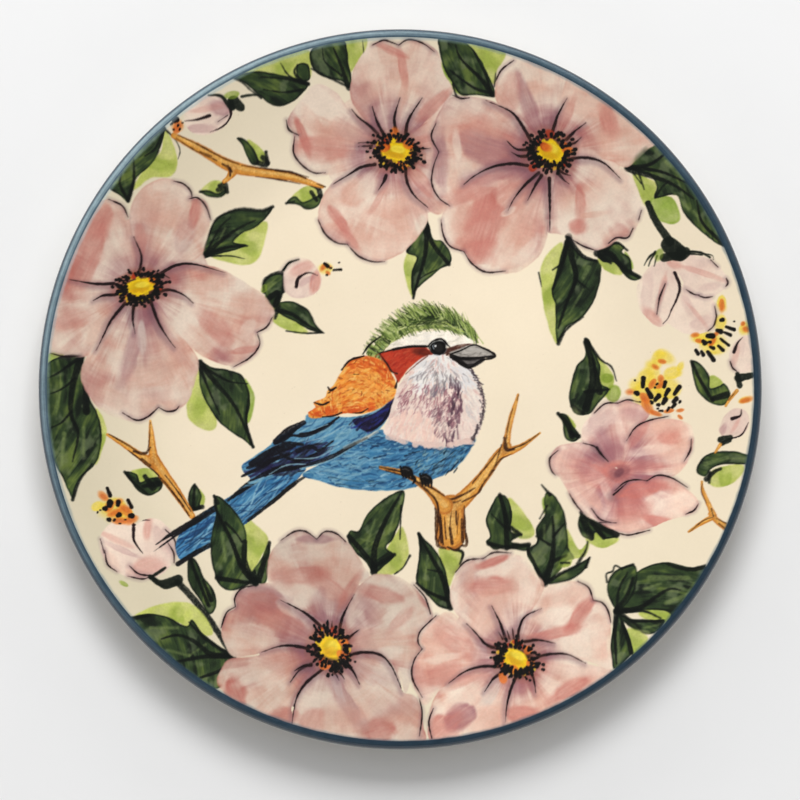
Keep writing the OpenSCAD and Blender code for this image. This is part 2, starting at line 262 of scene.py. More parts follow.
# Each blossom: its centre, its petals from the back to the front, the broad presses of the brush,
# the drawn lines that run out from its centre, and the drawn edges.
BLOSSOMS = [
    dict(centre=(-94, 36.6), core=(-93.6, 36.8, 10, 5.4, 8), full=0.94, spots=[(-89.5, 40, ORANGE)],
         petals=[
             [(-94, 44), (-97, 56), (-97, 66), (-93, 72.5), (-86, 76), (-80, 75), (-76, 72), (-75, 69),
              (-71, 68.5), (-68.5, 64), (-69, 56), (-71, 49), (-76, 45.5), (-86, 42)],
             [(-95, 43), (-96, 53), (-98, 62), (-101, 67), (-106, 68.5), (-113, 64), (-119, 54),
              (-124, 42), (-123, 38), (-110, 37), (-100, 37)],
             [(-100, 37), (-112, 38), (-124, 39), (-127, 28), (-127, 15), (-120, 12), (-113, 12),
              (-107, 18), (-101, 29)],
             [(-99, 31), (-106, 21), (-113, 12), (-115, 4), (-112, -3), (-107, -8), (-100, -11),
              (-94, -11.5), (-90, -10), (-87, -6.5), (-83, -8), (-77, -5.5), (-74, 2), (-72.5, 10),
              (-76, 16), (-83, 26), (-89, 32)],
             [(-88, 40), (-82, 44.5), (-74, 45.5), (-64, 43), (-55, 38), (-48, 33), (-45, 27), (-47, 23),
              (-51.5, 20), (-50.5, 15), (-55, 10), (-60, 8), (-67, 10), (-74, 14), (-82, 23), (-88, 32)],],
         presses=[
             (-113, 48, 30, 9, 66, ROSE, .75), (-108, 60, 13, 6, 55, ROSE, .6),
             (-121, 41, 14, 6, 60, ROSE, .55), (-93.5, 54, 12, 4, 97, ROSE, .55),
             (-74, 64, 11, 4, 82, ROSE, .85), (-87, 65, 16, 12, 15, SALMON, .5),
             (-78, 55, 14, 7, 80, MAUVE, .22), (-66, 22, 16, 7, -45, ROSE, .6),
             (-56, 14, 11, 2.6, 8, ROSE, .55), (-57, 30, 14, 7, 45, SALMON, .45),
             (-97, 12, 22, 5, 76, MAUVE, .5), (-88, 6, 18, 9, 22, SALMON, .6),
             (-85, 20, 20, 5, -55, MAUVE, .3), (-80, 14, 10, 6, -40, SALMON, .5),
             (-118, 25, 15, 7, 15, ROSE, .4), (-108, 22, 16, 5, 50, SALMON, .4),
             (-104, -3, 14, 7, -30, SALMON, .35), (-70, 36, 16, 4, -25, LIGHT, .4),
             (-93, 18, 13, 3, 93, rgb(226, 210, 200), .8), (-84, 50, 14, 5, 75, LIGHT, .4),
             (-101, 55, 12, 5, 100, LIGHT, .35), (-55, 22, 8, 4, 50, LIGHT, .5),],
         rays=[
             [(-94, 42), (-93.2, 48), (-96, 55)], [(-88, 40.5), (-81, 44.6), (-74, 45), (-63, 42)],
             [(-88, 35), (-83, 35.8), (-78, 34), (-74.5, 31)],
             [(-90, 32), (-87, 24), (-83, 17.5), (-81, 15)], [(-96, 30), (-96.3, 25), (-95.5, 20)],
             [(-99, 31), (-104, 25), (-107.5, 18), (-109.5, 14)],
             [(-103, 34), (-107, 33.8), (-110.5, 32)], [(-103, 38), (-110, 38), (-119, 39.5)],
             [(-88, 41), (-85, 41), (-83, 40)],],
         edges=[
             [(-81.5, 75), (-78, 74), (-75.5, 71.5), (-75, 69)],
             [(-76, 68.6), (-73, 69), (-70, 66), (-68.2, 61)], [(-105, 68.5), (-100, 66), (-98, 62)],
             [(-100, -8.5), (-95, -11.2), (-91, -10), (-87, -6.5)],
             [(-87, -6.5), (-84, -8), (-81, -7.6), (-79.5, -6)], [(-126, 13), (-121, 11.8), (-115, 12)],
             [(-46, 26), (-48, 22.5), (-51.5, 20.5)],
             [(-51.5, 20.5), (-50.6, 16), (-54, 11.5), (-60, 8)],],),
    dict(centre=(-3, 86), core=(-1.5, 85.6, 10, 6.6, -10), full=0.975,
         spots=[(-5, 88, RED), (-6, 87, ORANGE), (3, 88, ORANGE), (1, 80.5, ORANGE), (-2, 92.5, ORANGE)],
         petals=[
             [(3, 92), (10, 97), (19, 108), (16, 100), (12.5, 93), (13.5, 86), (12, 80), (12, 74),
              (17, 66), (13, 63), (6, 69), (2, 79)],
             [(-8, 93), (-16, 101), (-18, 108), (-16.5, 116), (-12.5, 122), (-9, 125), (-5, 125.6),
              (-1, 124), (3, 125.6), (9, 124.8), (14, 121), (15.5, 114), (19, 108), (12, 99), (3, 92)],
             [(-9, 92), (-18, 100), (-23, 107), (-30, 110), (-36, 104), (-40.5, 97), (-38.5, 92),
              (-38.8, 86), (-36, 81), (-30, 78), (-24, 77.5), (-14, 81), (-9, 84)],
             [(-10, 81), (-17, 79), (-24, 75), (-28.5, 68), (-29.5, 61), (-27, 56), (-22.5, 53),
              (-19, 52.3), (-15, 48), (-10, 46.4), (-5, 46.4), (2, 50), (8, 57), (10, 63), (6, 70),
              (2, 79), (-3, 80)],],
         presses=[
             (-28, 87, 20, 8, -4, ROSE, .7), (-30, 94, 15, 5, -60, SALMON, .5),
             (-35, 91, 14, 3, -70, ROSE, .85), (-18, 92, 16, 7, -20, SALMON, .6),
             (-14, 98, 16, 4, -50, SALMON, .4), (-3, 122, 12, 2.6, -25, ROSE, .7),
             (1, 116, 14, 3, -80, ROSE, .6), (1, 106, 14, 3, 80, SALMON, .55),
             (-10, 112, 18, 9, 65, SALMON, .3), (9, 112, 18, 8, 95, SALMON, .22),
             (12, 102, 17, 4, 45, ROSE, .6), (8, 89, 8, 5, 10, ROSE, .5), (7, 76, 16, 5, -50, ROSE, .5),
             (-17, 70, 9, 8, 60, SALMON, .85), (-22, 61, 14, 3.4, -55, ROSE, .75),
             (-18, 54, 11, 3, -50, ROSE, .5), (-3, 65, 22, 7, 12, SALMON, .6),
             (-8, 68, 12, 2, 60, ROSE, .4), (-5, 55, 18, 6, 10, SALMON, .25),
             (-12, 73, 10, 6, 70, LIGHT, .7), (-30, 101, 10, 5, 40, LIGHT, .5),
             (-8, 60, 14, 4, -25, LIGHT, .5), (5, 118, 10, 4, 60, LIGHT, .4),],
         rays=[
             [(-8, 92), (-11, 95), (-15, 98), (-17.5, 101)], [(-6, 92), (-8.5, 97), (-10, 102)],
             [(-1.5, 93), (-2, 98), (0, 105)], [(2, 91), (3, 97), (8, 105)],
             [(4, 88), (7, 86.8), (11, 86.8)], [(-9, 89), (-15, 88.8)], [(-10, 87.7), (-15, 87.5)],
             [(-9, 81), (-14, 80), (-19, 77), (-24, 74)], [(-5, 77), (-6, 74.5), (-8, 71.5)],
             [(2, 80), (2.5, 75), (5, 70), (10, 65.5)],],
         edges=[
             [(-41, 97), (-40, 93.5), (-36.5, 91.5)],
             [(-38, 91), (-38.3, 85), (-35, 80.5), (-31, 78), (-27, 78)],
             [(-10, 124), (-6, 125.8), (-3, 125), (-.5, 124)],
             [(-.5, 124), (3, 126), (8, 124.8), (12.5, 121.5)],
             [(-29.5, 61), (-27, 56), (-23, 52.8), (-19, 52.2)],
             [(-19, 52.2), (-15, 48), (-10, 46), (-5.5, 46)],],),
    dict(centre=(54, 85), core=(54, 86, 9.5, 7, -25), full=0.975,
         spots=[(52, 87.5, RED), (53, 87, ORANGE), (60.5, 86, ORANGE), (54, 92, RED), (48, 80, RED)],
         petals=[
             [(50, 91), (42, 99), (35, 103), (34.5, 110), (38, 117), (44, 122), (53, 119), (61, 115),
              (64, 110), (60, 104), (57, 97), (56, 92)],
             [(59, 84), (68, 84), (76, 82), (82, 80), (89, 86), (92, 89), (88, 95), (80, 102), (71, 108),
              (62, 114), (58, 105), (57, 95)],
             [(56, 77), (54, 66), (53, 57), (57, 56), (61, 55), (66, 52), (71, 50), (76, 52), (79, 54.5),
              (83, 55.5), (86, 60), (87, 66), (85, 74), (80, 80), (74, 83), (66, 84), (59, 83)],
             [(46, 91), (40, 99), (34, 103.5), (26, 105.5), (18, 105), (14, 100), (11.3, 92), (12, 88),
              (14, 85), (12, 80), (11.3, 75), (13.5, 70), (18, 66), (26, 68), (36, 73), (47, 80)],
             [(50, 78), (44, 80), (34, 79), (24, 73), (17, 66), (14.8, 61), (15.5, 56), (18, 51.5),
              (23, 49.5), (26, 45), (31, 42.5), (38, 41.5), (44, 43), (50, 48), (53, 55), (54, 64),
              (54, 75)],],
         presses=[
             (30, 89, 26, 15, -25, ROSE, .55), (32, 86, 22, 10, -18, MAUVE, .6),
             (36, 79, 28, 7, 18, MAUVE, .65), (14.5, 82, 22, 5, 92, MAUVE, .6),
             (28, 72, 26, 8, 22, ROSE, .5), (30, 59, 24, 13, 72, ROSE, .85),
             (44, 60, 20, 14, 60, SALMON, .7), (27, 50, 12, 6, 20, ROSE, .5),
             (38, 68, 26, 9, 30, ROSE, .45), (22, 62, 10, 6, 60, SALMON, .4),
             (46, 103, 22, 5, 108, MAUVE, .6), (40, 106, 16, 7, 80, ROSE, .4),
             (64, 59, 5, 5.5, 70, ROSE, .95), (65, 67, 14, 3.4, 92, ROSE, .55),
             (70, 63, 10, 2, 8, SALMON, .6), (75, 97, 13, 6, 105, ROSE, .75),
             (67, 103, 17, 9, -10, SALMON, .6), (60, 99, 14, 4, 65, ROSE, .4),
             (72, 90, 20, 4, 15, SALMON, .45), (74, 73, 18, 10, 20, SALMON, .25),
             (59, 72, 14, 6, 95, SALMON, .4), (20.5, 88, 12, 2.6, 96, LIGHT, .85),
             (22, 100, 14, 7, 20, LIGHT, .55), (39, 64, 6, 2.2, 30, LIGHT, .7),
             (46, 50, 12, 4, 50, LIGHT, .45), (76, 66, 14, 9, 60, LIGHT, .5),
             (52, 112, 12, 5, -30, LIGHT, .4),],
         rays=[
             [(47, 90), (44, 95), (40, 100), (31, 104)], [(47, 86.4), (42, 86.5), (38.5, 89.5)],
             [(46, 84), (43, 84), (40, 85.5)], [(46, 80.6), (40, 81.3), (33, 80), (27, 77), (23, 73.8)],
             [(50, 78), (45, 73.5), (41, 68.5), (39, 64.5)], [(51, 77), (48.5, 73), (46, 68)],
             [(53.8, 76), (54, 66), (54, 57)], [(57, 78), (59, 75.5), (61, 74)],
             [(60, 82.6), (66, 83.5), (73, 81.8), (80, 75.5)], [(55, 93), (57, 99), (60.3, 105)],
             [(60, 90), (63, 93), (67, 96)], [(60, 88), (63, 88.8), (65.5, 91)],
             [(57, 79), (59.5, 77.6), (61.5, 77)],],
         edges=[
             [(13, 96), (11.3, 91), (14, 85.5)], [(14, 85.5), (12, 80), (11.5, 74), (14, 69), (18, 66)],
             [(14.8, 61), (15.5, 56), (18, 51.5), (23, 49.6)],
             [(23, 49.6), (26, 45.2), (31, 42.2), (38, 42.6)], [(62, 54), (66, 51.6), (70.5, 50)],
             [(75, 52.5), (78, 54.6), (82, 54.6), (84, 58)], [(87, 64.5), (86, 61)],
             [(34, 110), (36.5, 115), (41, 118.5)], [(19, 106), (22, 104.8), (25, 105)],],),
    dict(centre=(-25.5, -93.5), core=(-25, -93.3, 7.4, 9.4, 35), full=0.89,
         spots=[(-21, -96, ORANGE), (-27, -99.5, ORANGE), (-24, -87.5, RED), (-20.5, -91, ORANGE)],
         petals=[
             [(-32, -94), (-42, -93), (-52, -96), (-61, -97), (-64, -100), (-66, -106), (-60, -113),
              (-50, -119), (-38, -123), (-39, -115), (-36, -108), (-30, -101)],
             [(-28, -101), (-35, -107), (-38, -114), (-39, -123), (-28, -126), (-14, -128), (0, -129),
              (9, -128), (8, -119), (6, -111), (1, -109), (0, -104), (-4, -98), (-10, -95), (-18, -96)],
             [(-19, -90), (-20, -82), (-17, -74), (-11, -67.5), (-6, -66.5), (0, -68), (5, -71), (9, -76),
              (12, -82), (8, -86), (6.5, -91), (7.5, -94), (5, -98), (4, -105), (2, -110), (0, -104),
              (-4, -98), (-10, -95), (-18, -96)],
             [(-32, -92), (-42, -92.5), (-52, -95.5), (-60, -96.5), (-64, -90), (-64, -84.5),
              (-62, -80.5), (-59.3, -78.5), (-59.3, -75), (-56.5, -72), (-51, -70.3), (-46, -70),
              (-42, -73), (-34, -80), (-27, -87)],
             [(-27, -85), (-34, -80), (-43, -76), (-48, -68), (-47, -60), (-43, -54.5), (-38, -51.5),
              (-34, -51.5), (-30, -54), (-27, -51.5), (-23, -52), (-18, -56), (-14, -62), (-11, -67.5),
              (-15, -71), (-19, -78), (-21, -87)],],
         presses=[
             (-50, -75, 20, 9, -15, MAUVE, .55), (-50, -78, 18, 9, -10, ROSE, .6),
             (-42, -84, 22, 7, -28, ROSE, .55), (-36, -67, 22, 6, 5, ROSE, .5),
             (-26, -71, 18, 6, -35, ROSE, .5), (-30, -78, 12, 5, 70, MAUVE, .35),
             (-30, -54, 14, 3, 0, MAUVE, .6), (-19, -74, 16, 3.6, 62, ROSE, .6),
             (-7, -74, 18, 5, -15, ROSE, .6), (-12, -90, 22, 7, 0, SALMON, .7),
             (0, -83, 12, 4, 45, ROSE, .4), (8, -75, 8, 2.4, -60, ROSE, .7),
             (-44, -98, 16, 8, -15, ROSE, .45), (-42, -102, 14, 4, 25, SALMON, .4),
             (-59, -109, 10, 7, -70, ROSE, .9), (-42, -118, 11, 6, 10, ROSE, .8),
             (-32, -120, 10, 8, 60, ROSE, .5), (-7, -123, 11, 9, 15, ROSE, .8),
             (-20, -112, 22, 6, -55, MAUVE, .35), (-14, -102, 20, 6, -20, MAUVE, .25),
             (2, -117, 16, 4, 80, SALMON, .4), (-24, -118, 22, 7, 5, SALMON, .4),
             (-34, -60, 18, 4, 5, LIGHT, .6), (-52, -88, 16, 7, -15, LIGHT, .7),
             (-16, -80, 8, 5, 50, LIGHT, .6), (-41, -79, 8, 4, -35, LIGHT, .6),
             (-54, -104, 12, 4, 25, LIGHT, .6), (-10, -114, 14, 5, -40, LIGHT, .5),
             (0, -79, 8, 5, 20, LIGHT, .4), (-23, -106, 12, 3, -70, rgb(214, 196, 190), .6),],
         rays=[
             [(-33, -93.5), (-39, -92.4), (-44, -92.8), (-50, -94.8)],
             [(-28, -86), (-33, -81.5), (-38, -78.5), (-43, -76)], [(-26, -86), (-26, -83)],
             [(-24.5, -86), (-24.5, -83.5)], [(-22, -88), (-21, -83), (-19, -78.5), (-16.5, -74)],
             [(-20, -91), (-16.5, -88), (-14.5, -86.5)],
             [(-19, -96), (-13, -94.8), (-7, -95.8), (-3, -100), (1, -109)],
             [(-32, -99), (-36, -101), (-39.5, -105.5)], [(-32, -99.5), (-35, -99.8), (-38, -101.5)],
             [(-28, -101), (-34, -106), (-37.5, -112), (-39, -121)],
             [(-20, -99), (-17, -101.5), (-14.5, -106.5)], [(-25, -101), (-23, -103), (-22, -105)],
             [(-23, -101), (-21, -103), (-20, -104.5)],],
         edges=[
             [(-43, -54.5), (-38, -51.3), (-34, -51.3), (-30, -54)],
             [(-30, -54), (-27, -51.3), (-23, -52), (-19.5, -55)],
             [(-52, -70.6), (-57, -71.8), (-59.5, -75), (-59.3, -78.4)],
             [(-59.3, -78.4), (-62.5, -80.5), (-64.5, -86)], [(5, -70.5), (9, -75), (11, -81)],
             [(7, -111.5), (8, -117), (7, -125)],],),
    dict(centre=(42, -97), core=(42, -97, 9.6, 6, -28), full=0.975,
         spots=[
             (46, -94, ORANGE), (37, -104, ORANGE), (43, -92, RED), (41, -101, ORANGE),
             (47, -99, ORANGE)],
         petals=[
             [(38, -102), (30, -103), (19, -104), (13, -110), (10.5, -117), (11, -127), (22, -127),
              (32, -125), (40, -122), (38.5, -115), (40, -108)],
             [(46, -99), (57, -96), (67, -99), (76, -101), (74, -106), (64, -112), (54, -117), (42, -122),
              (38.5, -120), (40, -110), (43, -103)],
             [(43, -92), (44, -84), (48, -76), (52, -71), (58, -69.5), (65, -69.5), (69, -73), (70, -76),
              (74, -77.5), (76, -84), (76, -92), (76, -101), (68, -98), (58, -95.5), (48, -97)],
             [(35, -93), (26, -88), (19, -80.5), (13, -82), (8, -86), (6.5, -91), (8, -94), (5, -98),
              (4, -104), (6, -110), (9, -114), (14, -109), (19, -105), (28, -101), (36, -99)],
             [(36, -91), (30, -90), (24, -85), (19, -79), (18, -73), (20, -67), (23, -63), (28, -61),
              (31, -61), (34, -59), (40, -59), (45, -61), (49, -66), (52, -70), (50, -76), (45, -83),
              (42, -90)],],
         presses=[
             (33, -71, 16, 7, 0, ROSE, .75), (31, -80, 18, 12, 60, SALMON, .7),
             (34, -62, 11, 3, 20, ROSE, .95), (42, -72, 16, 8, 80, SALMON, .3),
             (24, -72, 14, 4, 75, SALMON, .5), (65, -81, 16, 4.4, 50, ROSE, .9),
             (56, -88, 20, 4, 12, ROSE, .7), (59, -75, 20, 5, 15, SALMON, .5),
             (50, -82, 14, 4, 60, SALMON, .45), (20, -91, 18, 9, -40, ROSE, .45),
             (12, -89, 12, 7, 60, SALMON, .6), (16, -103, 18, 7, 8, ROSE, .6),
             (27, -103, 20, 4, 25, ROSE, .4), (22, -118, 12, 8, 30, MAUVE, .85),
             (16, -122, 16, 9, 40, ROSE, .7), (44, -117, 12, 6, 0, ROSE, .75),
             (61, -108, 18, 5, 32, ROSE, .8), (32, -119, 16, 8, 30, SALMON, .6),
             (27, -110, 16, 6, 40, SALMON, .35), (58, -102, 16, 6, -10, SALMON, .4),
             (15, -97, 13, 2.6, 10, LIGHT, .7), (33, -109, 10, 5, 60, rgb(220, 208, 198), .7),
             (66, -101, 12, 5, 0, rgb(246, 224, 208), .7), (34, -65.5, 14, 2.4, 10, LIGHT, .7),
             (55, -82, 14, 5, 10, LIGHT, .6), (70, -88, 10, 8, 80, LIGHT, .6),
             (45, -69, 10, 4, -50, LIGHT, .4),],
         rays=[
             [(35, -93.5), (31, -92), (27, -87.5), (24, -84.5)], [(38, -90), (36, -84), (33, -78)],
             [(39.5, -90), (38.6, -87)], [(41, -90), (40.5, -86)],
             [(42.5, -92), (42.8, -87), (45, -82), (51, -79)], [(45, -91), (50, -90.4), (56, -91.6)],
             [(47, -98), (52, -95.8), (60, -95.5), (67, -98.8)], [(46, -101), (48, -104), (49, -109.5)],
             [(42, -103), (40, -108), (38.5, -114), (38, -120)],
             [(37, -102), (33.5, -104.5), (30.5, -109)],
             [(36, -100), (29, -100), (23, -102), (17.5, -106)], [(37, -90), (35.5, -87.5)],],
         edges=[
             [(20, -66), (24, -61.8), (30, -61)], [(30, -61), (34, -58.8), (40, -59)],
             [(64, -69.2), (68, -71.5), (69.6, -76)], [(69.6, -76), (73, -77), (75, -80), (76, -84)],
             [(13, -81.6), (7.5, -87), (6.5, -91), (8, -93.6)],
             [(8, -93.6), (5, -98), (4.4, -104), (8, -111)], [(12, -115), (10.4, -120), (11.5, -126)],],),]

DARK = rgb(22, 32, 22)
GREEN = rgb(48, 66, 38)
OLIVE = rgb(106, 122, 60)
LIME = rgb(196, 202, 112)
FRESH = rgb(138, 160, 56)

